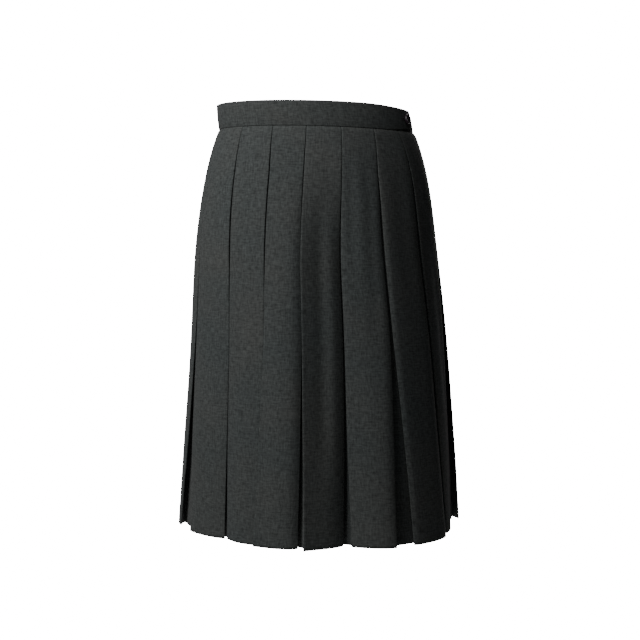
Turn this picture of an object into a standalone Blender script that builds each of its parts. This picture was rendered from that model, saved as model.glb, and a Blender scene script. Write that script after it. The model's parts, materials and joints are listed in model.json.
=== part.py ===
"""Box pleat skirt, knee length, worn pose: a banded waist, sixteen box pleats and a side zip.

Units are metres, +Z is up, the skirt's front faces -Y and the wearer's left is +X.
The origin is the middle of the waist ring, halfway up the waistband.

Every wall is worked out from one idea. A ring is the skirt's outer outline at a level s
below the waist seam. A place on a ring is an arc length from the centre front, and a depth
is a distance inwards from the ring. A box pleat is then a path of places and depths:
along the face, round a fold and back under it, round again and across the underlay.
"""
import math
from collections import namedtuple

import bmesh
import bpy
import numpy as np
from mathutils import Matrix, Vector

for old in list(bpy.data.objects):
    bpy.data.objects.remove(old, do_unlink=True)

MM = 0.001

# Lengths of the garment
BAND_HEIGHT = 33.3 * MM
SKIRT_LENGTH = 527 * MM
WAIST_SEAM_Z = -BAND_HEIGHT / 2

# The wall of one layer of cloth, and the gap that parts two sewn pieces
WALL = 1.1 * MM
SEAM_GAP = 0.3 * MM

# The worn outline: half widths and half depths of the rings, and how they grow downwards
WAIST_HALF_WIDTH = 133.3 * MM
HIP_SPRING = 22.7 * MM
HIP_DROP = 64 * MM
SIDE_FLARE = 0.0645
WAIST_HALF_DEPTH = 100 * MM
BELLY_SPRING = 11 * MM
SEAT_SPRING = 30 * MM
BODY_DROP = 60 * MM
FRONT_FLARE = 0.117
BACK_FLARE = 0.085

# The skirt hangs a little askew: its waist tips to the wearer's left and to the front,
# its middle dips to the right over the hip and shifts to the left further down
WAIST_ROLL = math.tan(math.radians(1.4))
WAIST_PITCH = 0.015
WAIST_SHIFT = 2.7 * MM
HIP_DIP = 2.8 * MM
HIP_DIP_LEVEL = 150 * MM
HIP_DIP_SPREAD = 90 * MM
HEM_SHIFT = 4.0 * MM
HEM_SHIFT_LEVEL = 450 * MM

# Pleats. The powers say how slowly a curve leaves its start: 1 would be a straight line.
PLEATS = 16
BELLY_LEVEL = 70 * MM
HIP_LEVEL = 200 * MM
SEWN_OPENING = 0.3 * MM
HIP_OPENING_LEVEL = 120 * MM
PARTING_POWER = 1.15
FOLD_AT_WAIST = 1.9 * MM
FOLD_AT_HEM = 5.0 * MM
FOLD_OPENS_AT = 150 * MM
FOLD_POWER = 1.3
UNDERLAY_CLOTH = 100 * MM
RETURN_SHARE = 0.44
LEAST_UNDERLAY = 6 * MM
CROWN_STARTS_AT = 120 * MM
CROWN_POWER = 1.4
FACE_CROWN = 2.0 * MM

# Levels below the waist seam at which a section is worked out
LEVELS = (0, 8, 22, 48, 88, 140, 200, 270, 340, 405, 468, 527)

# One row for each gap between two pleat faces, from the wearer's right side round the
# front, the closure and the back. waist, belly, hip and hem give where the gap is, in pleats
# from the centre front. The next columns are in mm: how far the gap stands open at the hip
# and the hem, the level from which it parts, how far the fold on either side of it stands
# out from the ring at the hem, and the level from which it lifts. The last one is the power
# of the lift's curve: those at the middle of the front lift early, over the hip.
Gap = namedtuple("Gap", "waist belly hip hem hip_open hem_open parts_at "
                        "left_lift right_lift lifts_at lift_power")
GAPS = (
    Gap(-4.22, -4.21, -4.20, -4.52, 1.0, 9.0, 300, -3.0, 1.0, 120, 1.4),
    Gap(-3.21, -3.17, -3.12, -3.34, 1.0, 40.0, 350, -1.0, -7.0, 120, 1.4),
    Gap(-2.25, -2.12, -1.99, -2.01, 2.0, 4.0, 340, -18.0, -15.0, 120, 1.4),
    Gap(-1.25, -1.15, -1.12, -1.22, 0.8, 2.5, 300, -8.0, -2.0, 120, 1.4),
    Gap(-0.29, -0.31, -0.33, -0.335, 1.0, 8.5, 220, 2.0, 1.0, 60, 0.8),
    Gap(0.68, 0.60, 0.53, 0.51, 0.6, 10.0, 330, -13.0, -11.0, 60, 0.8),
    Gap(1.65, 1.52, 1.50, 1.48, 2.0, 26.0, 200, 13.0, 11.0, 60, 0.8),
    Gap(2.53, 2.59, 2.60, 2.72, 2.0, 12.0, 260, 2.0, -5.0, 120, 1.4),
    Gap(3.48, 3.55, 3.62, 3.90, 1.5, 42.0, 230, -16.0, 2.0, 120, 1.4),
    Gap(4.52, 4.58, 4.64, 5.05, 1.0, 6.0, 300, -3.0, 2.0, 120, 1.4),
    Gap(5.56, 5.60, 5.67, 5.98, 1.5, 9.0, 260, -6.0, -2.0, 120, 1.4),
    Gap(6.60, 6.63, 6.69, 6.88, 1.0, 5.0, 320, 4.0, 1.0, 120, 1.4),
    Gap(7.63, 7.66, 7.71, 7.82, 0.8, 8.0, 290, -3.0, -7.0, 120, 1.4),
    Gap(8.67, 8.70, 8.73, 8.72, 1.2, 6.0, 330, 5.0, 3.0, 120, 1.4),
    Gap(9.71, 9.73, 9.76, 9.66, 1.0, 9.0, 250, -5.0, -1.0, 120, 1.4),
    Gap(10.74, 10.75, 10.78, 10.56, 1.5, 6.0, 310, 2.0, 4.0, 120, 1.4),
)
SIDE_SEAM = 0
CLOSURE = 8

# Waistband: a strip that starts as the underlap and ends as the tab that covers it
BAND_THICKNESS = 3.2 * MM
BAND_PROUD = 0.3 * MM
BAND_TOP_HALF_WIDTH = 131.1 * MM
BAND_TOP_HALF_DEPTH = 98 * MM
BAND_TOP_SHIFT = -5.4 * MM
UNDERLAP_END = 2.1
TAB_END = 3.5
STEP_OUT_END = 4.6
TAB_RISE = 5 * MM
TAB_DROP = 2.8 * MM
TAB_DROP_START = 1.4
BAND_STATIONS = 88

# Zip in the closure pleat, with its slider closed at the top
ZIP_START = 6 * MM
ZIP_LENGTH = 180 * MM
ZIP_TAPE_WIDTH = 24 * MM
ZIP_TAPE_THICKNESS = 1.0 * MM
ZIP_ROWS = 10
ZIP_WINDOW = 4.5 * MM
ZIP_WINDOW_END = 20 * MM
ZIP_ROOM = 2.6 * MM
ZIP_ROOM_START = 8 * MM
ZIP_ROOM_END = 40 * MM
UNDERLAY_SAG = 0.8 * MM
SLIDER_TOP = 8 * MM
SLIDER_LENGTH = 10 * MM
SLIDER_WIDTH = 7 * MM
SLIDER_THICKNESS = 2.0 * MM
SLIDER_NECK = 2 * MM
SLIDER_CLEARANCE = 0.5 * MM
PULL_LENGTH = 24 * MM
PULL_THICKNESS = 1.0 * MM
PULL_LIFT = 0.25 * MM

# Button on the tab
BUTTON_PLACE = 3.1
BUTTON_RADIUS = 7.5 * MM
BUTTON_THICKNESS = 3.4 * MM
BUTTON_FOOT_BEVEL = 0.8 * MM
BUTTON_EDGE_BEVEL = 0.6 * MM
BUTTON_RIM = 1.6 * MM
BUTTON_DISH_SLOPE = 1.3 * MM
BUTTON_DISH = 1.0 * MM
BUTTON_SEGMENTS = 32
HOLES = 4
HOLE_RADIUS = 0.9 * MM
HOLE_REACH = 1.7 * MM
HOLE_SEGMENTS = 12


def smooth(x):
    """Soft step from 0 to 1: 3x^2 - 2x^3 between its ends."""
    x = min(max(x, 0.0), 1.0)
    return x * x * (3 - 2 * x)


def growth(s, start, power):
    """0 down to a level, then a power curve that reaches 1 at the hem."""
    return (max(s - start, 0.0) / (SKIRT_LENGTH - start)) ** power


def half_width(s):
    """Half width of the ring: it springs out over the hip, then flares evenly."""
    return WAIST_HALF_WIDTH + HIP_SPRING * (1 - math.exp(-s / HIP_DROP)) + SIDE_FLARE * s


def half_depth(s, spring, flare):
    """Half depth of the ring, towards the front or the back."""
    return WAIST_HALF_DEPTH + spring * (1 - math.exp(-s / BODY_DROP)) + flare * s


def centre_x(s):
    """Sideways place of the ring's middle: in a little at the hip, out towards the hem."""
    dip = HIP_DIP * math.exp(-((s - HIP_DIP_LEVEL) / HIP_DIP_SPREAD) ** 2)
    return WAIST_SHIFT - dip + HEM_SHIFT * min(s / HEM_SHIFT_LEVEL, 1.0)


class Ring:
    """An oval outline measured by arc length from the centre front, round by the left."""

    samples = 1441

    def __init__(self, middle, width, front, back):
        angle = np.linspace(-math.pi, 3 * math.pi, 2 * self.samples - 1)
        depth = np.where(np.cos(angle) > 0, front, back)
        self.x = middle + width * np.sin(angle)
        self.y = -depth * np.cos(angle)
        step = np.hypot(np.diff(self.x), np.diff(self.y))
        self.arc = np.concatenate([[0.0], np.cumsum(step)])
        self.arc -= np.interp(0.0, angle, self.arc)
        out = np.stack([np.sin(angle) / width, -np.cos(angle) / depth])
        self.out = out / np.hypot(out[0], out[1])
        self.pleat = (self.arc[-1] - self.arc[0]) / 2 / PLEATS

    def point(self, place, depth):
        """The point at an arc length from the centre front, a depth inside the outline."""
        x = np.interp(place, self.arc, self.x)
        y = np.interp(place, self.arc, self.y)
        out_x = np.interp(place, self.arc, self.out[0])
        out_y = np.interp(place, self.arc, self.out[1])
        return np.array([x - out_x * depth, y - out_y * depth])


def skirt_ring(s):
    """The skirt's outer outline at a level below the waist seam."""
    front = half_depth(s, BELLY_SPRING, FRONT_FLARE)
    back = half_depth(s, SEAT_SPRING, BACK_FLARE)
    return Ring(centre_x(s), half_width(s), front, back)


def height(s, x, y):
    """Height of a point of level s: the waist is tipped, and the hem is level."""
    tip = 1 - max(s, 0.0) / SKIRT_LENGTH
    return WAIST_SEAM_Z - s + tip * (WAIST_PITCH * y - WAIST_ROLL * x)


def gap_centre(gap, s):
    """Place of a gap in pleats: a curve through its values at the four known levels.
    Between two levels it is the cubic whose slopes are those of the stretches beside it,
    or flat where they turn back, so it never swings past the values."""
    levels = (0.0, BELLY_LEVEL, HIP_LEVEL, SKIRT_LENGTH)
    values = (gap.waist, gap.belly, gap.hip, gap.hem)
    chords = [(values[i + 1] - values[i]) / (levels[i + 1] - levels[i]) for i in range(3)]
    slopes = [chords[0]]
    for before, after in zip(chords, chords[1:]):
        same_way = before * after > 0
        slopes.append(2 * before * after / (before + after) if same_way else 0.0)
    slopes.append(chords[-1])
    i = sum(s >= level for level in levels[1:3])
    span = levels[i + 1] - levels[i]
    t = (s - levels[i]) / span
    start = (1 + 2 * t) * (1 - t) ** 2 * values[i] + t * (1 - t) ** 2 * span * slopes[i]
    end = t * t * (3 - 2 * t) * values[i + 1] + t * t * (t - 1) * span * slopes[i + 1]
    return start + end


def gap_opening(gap, s):
    """Clear width of a gap: sewn shut at the waist, parting slowly, then to the hem."""
    at_hip = gap.hip_open * MM
    upper = SEWN_OPENING + (at_hip - SEWN_OPENING) * smooth(s / HIP_OPENING_LEVEL)
    parted = growth(s, gap.parts_at * MM, PARTING_POWER)
    return upper + (gap.hem_open * MM - at_hip) * parted


def fold_depth(s):
    """Distance between two layers of a pleat: pressed flat above, opening to the hem."""
    opened = growth(s, FOLD_OPENS_AT, FOLD_POWER)
    return FOLD_AT_WAIST + (FOLD_AT_HEM - FOLD_AT_WAIST) * opened


def zip_room(s):
    """Extra depth of the closure's underlay, where the zip lies in it."""
    below_zip = smooth((s - ZIP_START - ZIP_LENGTH) / ZIP_ROOM_END)
    return ZIP_ROOM * smooth(s / ZIP_ROOM_START) * (1 - below_zip)


def seam_half_gap(index, s):
    """Half of the gap between front and back: the zip's window, and the seam below it."""
    shut = 1.0
    if index == CLOSURE:
        shut = smooth((s - ZIP_START - ZIP_LENGTH) / ZIP_WINDOW_END)
    return SEAM_GAP / 2 + (ZIP_WINDOW - SEAM_GAP / 2) * (1 - shut)


class Section:
    """All the folds of the skirt at one level, as places and depths on its ring."""

    def __init__(self, s):
        self.s = s
        self.ring = skirt_ring(s)
        self.fold = fold_depth(s)
        self.crown = FACE_CROWN * growth(s, CROWN_STARTS_AT, CROWN_POWER)
        pleat = self.ring.pleat
        rows = range(PLEATS + 1)
        gaps = [GAPS[i % PLEATS] for i in rows]
        turn = [PLEATS * pleat * (i // PLEATS) for i in rows]
        self.centre = [gap_centre(g, s) * pleat + t for g, t in zip(gaps, turn)]
        half = [(gap_opening(g, s) + WALL) / 2 for g in gaps]
        self.left = [c - h for c, h in zip(self.centre, half)]
        self.right = [c + h for c, h in zip(self.centre, half)]
        rise = [MM * growth(s, g.lifts_at * MM, g.lift_power) for g in gaps]
        self.left_lift = [g.left_lift * r for g, r in zip(gaps, rise)]
        self.right_lift = [g.right_lift * r for g, r in zip(gaps, rise)]

    def face_depth(self, face, place):
        """Depth of a face: straight between the lifts of its two folds, with a crown."""
        start = self.right[face]
        end = self.left[face + 1]
        t = (place - start) / (end - start)
        lift = (1 - t) * self.right_lift[face] + t * self.left_lift[face + 1]
        lift += 4 * t * (1 - t) * self.crown
        return WALL / 2 - lift

    def return_length(self, gap, face):
        """How far the cloth goes back under a face: nearly half of it, or what is left."""
        width = self.left[face + 1] - self.right[face]
        spare = (UNDERLAY_CLOTH - (self.right[gap] - self.left[gap])) / 4
        return min(RETURN_SHARE * width, spare)

    def face_path(self, face):
        """Across a face from fold to fold, over the two inner folds that lie under it."""
        inner_left = self.right[face] + self.return_length(face, face)
        inner_right = self.left[face + 1] - self.return_length(face + 1, face)
        places = (self.right[face], inner_left, inner_right, self.left[face + 1])
        return [(p, self.face_depth(face, p)) for p in places]

    def under_path(self, gap, side):
        """Under one side of a gap: from the face's fold back to the inner fold, then out
        along the underlay. side is -1 for the face left of the gap and 1 for the right."""
        face = gap - 1 if side < 0 else gap
        edge = self.left[gap] if side < 0 else self.right[gap]
        inner = edge + side * self.return_length(gap, face)
        reach = max(abs(edge - self.centre[gap]), LEAST_UNDERLAY)
        outer = self.centre[gap] + side * reach
        deep = 2 * self.fold
        if gap == CLOSURE:
            deep += zip_room(self.s)
        at_edge = self.face_depth(face, edge)
        at_inner = self.face_depth(face, inner)
        at_outer = at_edge
        if reach == LEAST_UNDERLAY:
            at_outer = max(at_edge, self.face_depth(face, outer))
        return [
            (edge, at_edge + self.fold),
            (inner, at_inner + self.fold),
            (inner, at_inner + deep),
            (outer, at_outer + deep),
        ]

    def seam_point(self, gap, side):
        """The edge of a panel in the underlay of a gap, midway in depth between its sides."""
        left = self.under_path(gap if gap else PLEATS, -1)[-1][1]
        right = self.under_path(gap % PLEATS, 1)[-1][1]
        half = seam_half_gap(gap % PLEATS, self.s)
        return self.centre[gap] + side * half, (left + right) / 2

    def panel_path(self, first, last):
        """Centre line of a panel from the underlay of one gap to the underlay of another."""
        path = [self.seam_point(first, 1)]
        path += self.under_path(first, 1)[::-1]
        for face in range(first, last):
            path += self.face_path(face)
            path += self.under_path(face + 1, -1)
            if face + 1 < last:
                path += self.under_path(face + 1, 1)[::-1]
        path.append(self.seam_point(last, -1))
        return path


def offset_line(line, distance):
    """A plan polyline moved sideways by a distance, with mitred corners. A mitre reaches at
    most twice the distance."""
    step = np.diff(line, axis=0)
    step /= np.linalg.norm(step, axis=1)[:, None]
    before = np.vstack([step[:1], step])
    after = np.vstack([step, step[-1:]])
    side = np.stack([before[:, 1] + after[:, 1], -before[:, 0] - after[:, 0]], axis=1)
    side /= np.linalg.norm(side, axis=1)[:, None]
    normal = np.stack([after[:, 1], -after[:, 0]], axis=1)
    mitre = 1 / np.maximum(np.sum(side * normal, axis=1), 0.5)
    return line + side * (distance * mitre)[:, None]


def material(name, colour, roughness):
    """A plain Principled material in the part's own colour."""
    made = bpy.data.materials.new(name)
    made.use_nodes = True
    shader = made.node_tree.nodes["Principled BSDF"]
    shader.inputs["Base Color"].default_value = (*colour, 1.0)
    shader.inputs["Roughness"].default_value = roughness
    return made


SUITING = material("charcoal_suiting", (0.045, 0.048, 0.047), 0.85)
BUTTON_PLASTIC = material("dark_button", (0.020, 0.012, 0.018), 0.30)
ZIP_WEAVE = material("zip_tape_black", (0.015, 0.015, 0.016), 0.80)
ZIP_METAL = material("zip_metal", (0.30, 0.30, 0.31), 0.35)
ZIP_METAL.node_tree.nodes["Principled BSDF"].inputs["Metallic"].default_value = 1.0


def add_object(name, bm, stuff):
    """Finish a bmesh as a named object with outward faces."""
    bmesh.ops.recalc_face_normals(bm, faces=bm.faces)
    mesh = bpy.data.meshes.new(name)
    bm.to_mesh(mesh)
    bm.free()
    mesh.materials.append(stuff)
    made = bpy.data.objects.new(name, mesh)
    bpy.context.collection.objects.link(made)
    return made


def wall_section(s, plan, thickness):
    """The outer points of a wall and then its inner points, from a centre line in plan."""
    outer = offset_line(plan, thickness / 2)
    inner = offset_line(plan, -thickness / 2)
    return [[(x, y, height(s, x, y)) for x, y in line] for line in (outer, inner)]


def two_triangles(bm, upper, lower, i, backward):
    """Split one quad of a wall. Stacked layers that run opposite ways get like diagonals."""
    a, b, c, d = upper[i], upper[i + 1], lower[i + 1], lower[i]
    if backward:
        bm.faces.new((a, b, d))
        bm.faces.new((b, c, d))
    else:
        bm.faces.new((a, b, c))
        bm.faces.new((a, c, d))


def wall_solid(name, sections, stuff, backward):
    """One closed wall from the outer and inner points of each level, top level first.
    backward says for each stretch of the path whether it runs back under a face."""
    bm = bmesh.new()
    outer = [[bm.verts.new(p) for p in outer_points] for outer_points, _ in sections]
    inner = [[bm.verts.new(p) for p in inner_points] for _, inner_points in sections]
    last = len(outer[0]) - 1
    for row in range(len(sections) - 1):
        for i in range(last):
            two_triangles(bm, outer[row], outer[row + 1], i, backward[i])
            two_triangles(bm, inner[row], inner[row + 1], i, backward[i])
        for i in (0, last):
            bm.faces.new((outer[row][i], inner[row][i], inner[row + 1][i], outer[row + 1][i]))
    for row in (0, len(sections) - 1):
        for i in range(last):
            bm.faces.new((outer[row][i], outer[row][i + 1], inner[row][i + 1], inner[row][i]))
    return add_object(name, bm, stuff)


def skirt_panel(name, first, last):
    """The front or the back: a pleated wall between two gaps, just below the band."""
    sections = []
    for level in LEVELS:
        s = level * MM + (SEAM_GAP if level == 0 else 0.0)
        section = Section(s)
        path = section.panel_path(first, last)
        plan = np.array([section.ring.point(place, depth) for place, depth in path])
        sections.append(wall_section(s, plan, WALL))
    places = [place for place, _ in path]
    backward = [there < here for here, there in zip(places, places[1:])]
    return wall_solid(name, sections, SUITING, backward)


skirt_panel("skirt_front", SIDE_SEAM, CLOSURE)
skirt_panel("skirt_back", CLOSURE, PLEATS)


# Waistband
BAND_FOOT = Ring(centre_x(0.0), WAIST_HALF_WIDTH, WAIST_HALF_DEPTH, WAIST_HALF_DEPTH)
BAND_HEAD = Ring(centre_x(0.0) + BAND_TOP_SHIFT, BAND_TOP_HALF_WIDTH,
                 BAND_TOP_HALF_DEPTH, BAND_TOP_HALF_DEPTH)


def band_point(pleats, rise, depth):
    """A point of the band: a place in pleats, a share of its height, a depth inside it."""
    low = BAND_FOOT.point(pleats * BAND_FOOT.pleat, depth)
    high = BAND_HEAD.point(pleats * BAND_HEAD.pleat, depth)
    x, y = low + (high - low) * rise
    return x, y, height(0.0, x, y) + rise * BAND_HEIGHT


def tab_drop(place):
    """How far the band's top edge dips at the closure, where two layers are fastened."""
    towards = smooth((place - TAB_DROP_START) / (TAB_END - TAB_DROP_START))
    away = smooth((place - TAB_END) / (STEP_OUT_END - TAB_END))
    return TAB_DROP * (towards - away)


def waistband():
    """Loft a four-cornered section from the underlap's end round to the tab's end."""
    sections = []
    for i in range(BAND_STATIONS + 1):
        strip = UNDERLAP_END + (TAB_END + PLEATS - UNDERLAP_END) * i / BAND_STATIONS
        tuck = 1 - smooth((strip - TAB_END) / (STEP_OUT_END - TAB_END))
        outside = -BAND_PROUD + tuck * (BAND_THICKNESS + SEAM_GAP)
        inside = outside + BAND_THICKNESS
        lap_start = PLEATS + UNDERLAP_END
        lift = TAB_RISE * smooth((strip - lap_start) / (TAB_END - UNDERLAP_END))
        place = strip if strip <= PLEATS else strip - PLEATS
        foot = lift / BAND_HEIGHT
        head = 1 - tab_drop(place) / BAND_HEIGHT
        corners = ((foot, outside), (head, outside), (head, inside), (foot, inside))
        sections.append([band_point(place, rise, depth) for rise, depth in corners])
    bm = bmesh.new()
    rows = [[bm.verts.new(p) for p in section] for section in sections]
    for here, there in zip(rows, rows[1:]):
        for i in range(4):
            j = (i + 1) % 4
            bm.faces.new((here[i], here[j], there[j], there[i]))
    bm.faces.new(rows[0][::-1])
    bm.faces.new(rows[-1])
    return add_object("waistband", bm, SUITING)


waistband()


# Zip
def zip_point(across, depth, s):
    """A point in the closure pleat: across the zip, a depth behind the pleat's face."""
    ring = skirt_ring(s)
    place = gap_centre(GAPS[CLOSURE], s) * ring.pleat + across
    x, y = ring.point(place, depth)
    return x, y, height(s, x, y)


def tape_front(s):
    """Depth of the tape's outer side, left, middle and right: just behind the underlay."""
    section = Section(s)
    left = section.under_path(CLOSURE, -1)[-1][1]
    right = section.under_path(CLOSURE, 1)[-1][1]
    behind = WALL / 2 + SEAM_GAP + UNDERLAY_SAG
    return left + behind, (left + right) / 2 + behind, right + behind


def zip_tape():
    """A flat strip behind the two edges of the placket."""
    half = ZIP_TAPE_WIDTH / 2
    sections = []
    for i in range(ZIP_ROWS + 1):
        s = ZIP_START + ZIP_LENGTH * i / ZIP_ROWS
        across = list(zip((-half, 0.0, half), tape_front(s)))
        outer = [zip_point(t, front, s) for t, front in across]
        inner = [zip_point(t, front + ZIP_TAPE_THICKNESS, s) for t, front in across]
        sections.append((outer, inner))
    return wall_solid("zip_tape", sections, ZIP_WEAVE, (False, False))


def zip_slider():
    """The slider's body and its pull, as one bent profile seen from the side."""
    back = tape_front(SLIDER_TOP)[1] - SLIDER_CLEARANCE
    body = back - SLIDER_THICKNESS
    pull_back = body - PULL_LIFT
    pull_front = pull_back - PULL_THICKNESS
    neck = SLIDER_TOP + SLIDER_NECK
    profile = (
        (SLIDER_TOP, back),
        (SLIDER_TOP, pull_front),
        (SLIDER_TOP + PULL_LENGTH, pull_front),
        (SLIDER_TOP + PULL_LENGTH, pull_back),
        (neck, pull_back),
        (neck, body),
        (SLIDER_TOP + SLIDER_LENGTH, body),
        (SLIDER_TOP + SLIDER_LENGTH, back),
    )
    half = SLIDER_WIDTH / 2
    bm = bmesh.new()
    sides = []
    for across in (-half, half):
        sides.append([bm.verts.new(zip_point(across, d, s)) for s, d in profile])
    count = len(profile)
    for i in range(count):
        j = (i + 1) % count
        bm.faces.new((sides[0][i], sides[0][j], sides[1][j], sides[1][i]))
    bm.faces.new(sides[0][::-1])
    bm.faces.new(sides[1])
    return add_object("zip_slider", bm, ZIP_METAL)


zip_tape()
zip_slider()


# Button
def button_frame():
    """Where the button sits on the tab: its centre, its outward axis and an upward axis."""
    middle = np.array(band_point(BUTTON_PLACE, 0.5, -BAND_PROUD))
    above = np.array(band_point(BUTTON_PLACE, 0.9, -BAND_PROUD))
    beside = np.array(band_point(BUTTON_PLACE + 0.1, 0.5, -BAND_PROUD))
    up = (above - middle) / np.linalg.norm(above - middle)
    out = np.cross(beside - middle, up)
    out /= np.linalg.norm(out)
    return middle, out, up


def button():
    """A turned disc with a raised rim and a dished middle, drilled with four holes."""
    middle, out, up = button_frame()
    across = np.cross(up, out)
    rim = BUTTON_RADIUS - BUTTON_RIM
    dish = BUTTON_THICKNESS - BUTTON_DISH
    profile = (
        (BUTTON_RADIUS - BUTTON_FOOT_BEVEL, 0.0),
        (BUTTON_RADIUS, BUTTON_FOOT_BEVEL),
        (BUTTON_RADIUS, BUTTON_THICKNESS - BUTTON_EDGE_BEVEL),
        (BUTTON_RADIUS - BUTTON_EDGE_BEVEL, BUTTON_THICKNESS),
        (rim, BUTTON_THICKNESS),
        (rim - BUTTON_DISH_SLOPE, dish),
    )
    bm = bmesh.new()
    line = [bm.verts.new((r, 0.0, h)) for r, h in profile]
    edges = [bm.edges.new(pair) for pair in zip(line, line[1:])]
    bmesh.ops.spin(bm, geom=line + edges, cent=(0, 0, 0), axis=(0, 0, 1),
                   angle=2 * math.pi, steps=BUTTON_SEGMENTS, use_merge=True)
    bmesh.ops.holes_fill(bm, edges=[e for e in bm.edges if e.is_boundary], sides=0)
    made = add_object("button", bm, BUTTON_PLASTIC)
    seat = middle + out * SEAM_GAP
    frame = Matrix([(*axes, place) for *axes, place in zip(across, up, out, seat)])
    frame = frame.to_4x4()
    holes = bmesh.new()
    for i in range(HOLES):
        angle = (i + 0.5) * 2 * math.pi / HOLES
        shift = Vector((HOLE_REACH * math.cos(angle), HOLE_REACH * math.sin(angle), 0))
        bmesh.ops.create_cone(holes, cap_ends=True, segments=HOLE_SEGMENTS,
                              radius1=HOLE_RADIUS, radius2=HOLE_RADIUS,
                              depth=4 * BUTTON_THICKNESS, matrix=Matrix.Translation(shift))
    drill = add_object("button_holes", holes, BUTTON_PLASTIC)
    drill.hide_render = True
    drill.display_type = "WIRE"
    cut = made.modifiers.new("holes", "BOOLEAN")
    cut.operation = "DIFFERENCE"
    cut.object = drill
    for each in (made, drill):
        each.matrix_world = frame
    return made


button()
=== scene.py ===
# %% [markdown]
# # A box pleat skirt in charcoal suiting
# The imported model gives the skirt's frame: a pleated wall for the front and one for the
# back, a waistband, a zip and a button, all as plain solids. This script dresses that frame.
# Each piece of cloth is worked out again as a fine surface on the form of its solid, and the
# box of the undressed model is kept, hidden.

# %% Load the frame
import json
import math
from collections import namedtuple

import bmesh
import bpy
import numpy as np
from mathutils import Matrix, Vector

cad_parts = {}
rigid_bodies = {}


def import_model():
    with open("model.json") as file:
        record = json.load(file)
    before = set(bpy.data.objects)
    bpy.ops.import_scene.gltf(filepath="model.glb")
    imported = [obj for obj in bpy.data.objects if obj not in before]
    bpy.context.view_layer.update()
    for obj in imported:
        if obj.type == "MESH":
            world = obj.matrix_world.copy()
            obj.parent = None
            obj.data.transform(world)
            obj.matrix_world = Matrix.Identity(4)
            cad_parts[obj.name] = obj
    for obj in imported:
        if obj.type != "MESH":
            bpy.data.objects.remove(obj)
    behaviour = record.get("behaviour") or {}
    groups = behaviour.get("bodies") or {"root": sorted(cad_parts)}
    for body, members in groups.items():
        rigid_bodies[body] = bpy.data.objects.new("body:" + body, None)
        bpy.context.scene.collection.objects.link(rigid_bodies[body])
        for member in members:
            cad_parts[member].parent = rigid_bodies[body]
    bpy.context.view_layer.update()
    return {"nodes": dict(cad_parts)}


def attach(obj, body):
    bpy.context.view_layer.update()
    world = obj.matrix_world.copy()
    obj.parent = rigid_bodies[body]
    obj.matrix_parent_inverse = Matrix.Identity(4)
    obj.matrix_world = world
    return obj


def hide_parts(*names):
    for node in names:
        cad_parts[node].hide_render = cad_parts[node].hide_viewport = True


for old in list(bpy.data.objects):
    bpy.data.objects.remove(old, do_unlink=True)
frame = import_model()
print("frame nodes:", ", ".join(sorted(frame["nodes"])))

# %% [markdown]
# ## The outline
# A ring is the skirt's outline at a level s below the waist seam: an oval that springs out
# over the hip and the seat and then flares evenly. An exponential gives the spring, because
# cloth leaves the waist steeply and soon settles into its flare. The sizes are the frame's,
# so that each surface lies on its solid.

# %% Sizes of the outline
MM = 0.001
BAND_HEIGHT = 33.3 * MM
SKIRT_LENGTH = 527 * MM
WAIST_SEAM_Z = -BAND_HEIGHT / 2
SEAM_GAP = 0.3 * MM
SOLID_WALL = 1.1 * MM

WAIST_HALF_WIDTH = 133.3 * MM
HIP_SPRING = 22.7 * MM
HIP_DROP = 64 * MM
SIDE_FLARE = 0.0645
WAIST_HALF_DEPTH = 100 * MM
BELLY_SPRING = 11 * MM
SEAT_SPRING = 30 * MM
BODY_DROP = 60 * MM
FRONT_FLARE = 0.117
BACK_FLARE = 0.085
WAIST_ROLL = math.tan(math.radians(1.4))
WAIST_PITCH = 0.015
WAIST_SHIFT = 2.7 * MM
HIP_DIP = 2.8 * MM
HIP_DIP_LEVEL = 150 * MM
HIP_DIP_SPREAD = 90 * MM
HEM_SHIFT = 4.0 * MM
HEM_SHIFT_LEVEL = 450 * MM
print("skirt length", round(SKIRT_LENGTH + BAND_HEIGHT, 4), "m with the band")

# %% [markdown]
# ## Three kinds of curve
# Everything on the skirt changes from the waist to the hem. A soft step starts and stops
# gently. A power curve stays at nought for a while and then grows. Other things pass through
# a few known values, and there a cubic with limited slopes is safer than a spline, because
# it never swings past the values.

# %% Curves
def smooth(x):
    """Soft step from 0 to 1: 3x^2 - 2x^3 between its ends."""
    x = np.clip(x, 0.0, 1.0)
    return x * x * (3 - 2 * x)


def growth(s, start, power):
    """0 down to a level, then a power curve that reaches 1 at the hem."""
    return (np.maximum(s - start, 0.0) / (SKIRT_LENGTH - start)) ** power


def curve(levels, values, s):
    """A cubic through values at levels. The slope at a level is the harmonic mean of the
    slopes on either side of it, or nought where they have opposite signs."""
    levels = np.asarray(levels, float)
    values = np.asarray(values, float)
    chords = np.diff(values) / np.diff(levels)
    product = chords[:-1] * chords[1:]
    total = chords[:-1] + chords[1:]
    inner = np.zeros_like(product)
    np.divide(2 * product, total, out=inner, where=product > 0)
    slopes = np.concatenate([chords[:1], inner, chords[-1:]])
    i = np.clip(np.searchsorted(levels, s, side="right") - 1, 0, len(chords) - 1)
    span = levels[i + 1] - levels[i]
    t = (s - levels[i]) / span
    start = (1 + 2 * t) * (1 - t) ** 2 * values[i] + t * (1 - t) ** 2 * span * slopes[i]
    end = t * t * (3 - 2 * t) * values[i + 1] + t * t * (t - 1) * span * slopes[i + 1]
    return start + end


print("soft step at a quarter:", float(smooth(0.25)))

# %% [markdown]
# ## Places on the outline
# A pleat is easiest to describe by how far along the outline a fold is and how deep it lies.
# An oval has no simple formula for the length along it, so each ring's length is summed up
# once over many small steps, and a place is looked up in that sum. The point and its outward
# direction then follow from the angle.

# %% Rings
PLEATS = 16
RING_STEPS = 2880
TURN = np.linspace(-math.pi, 3 * math.pi, RING_STEPS + 1)


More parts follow.
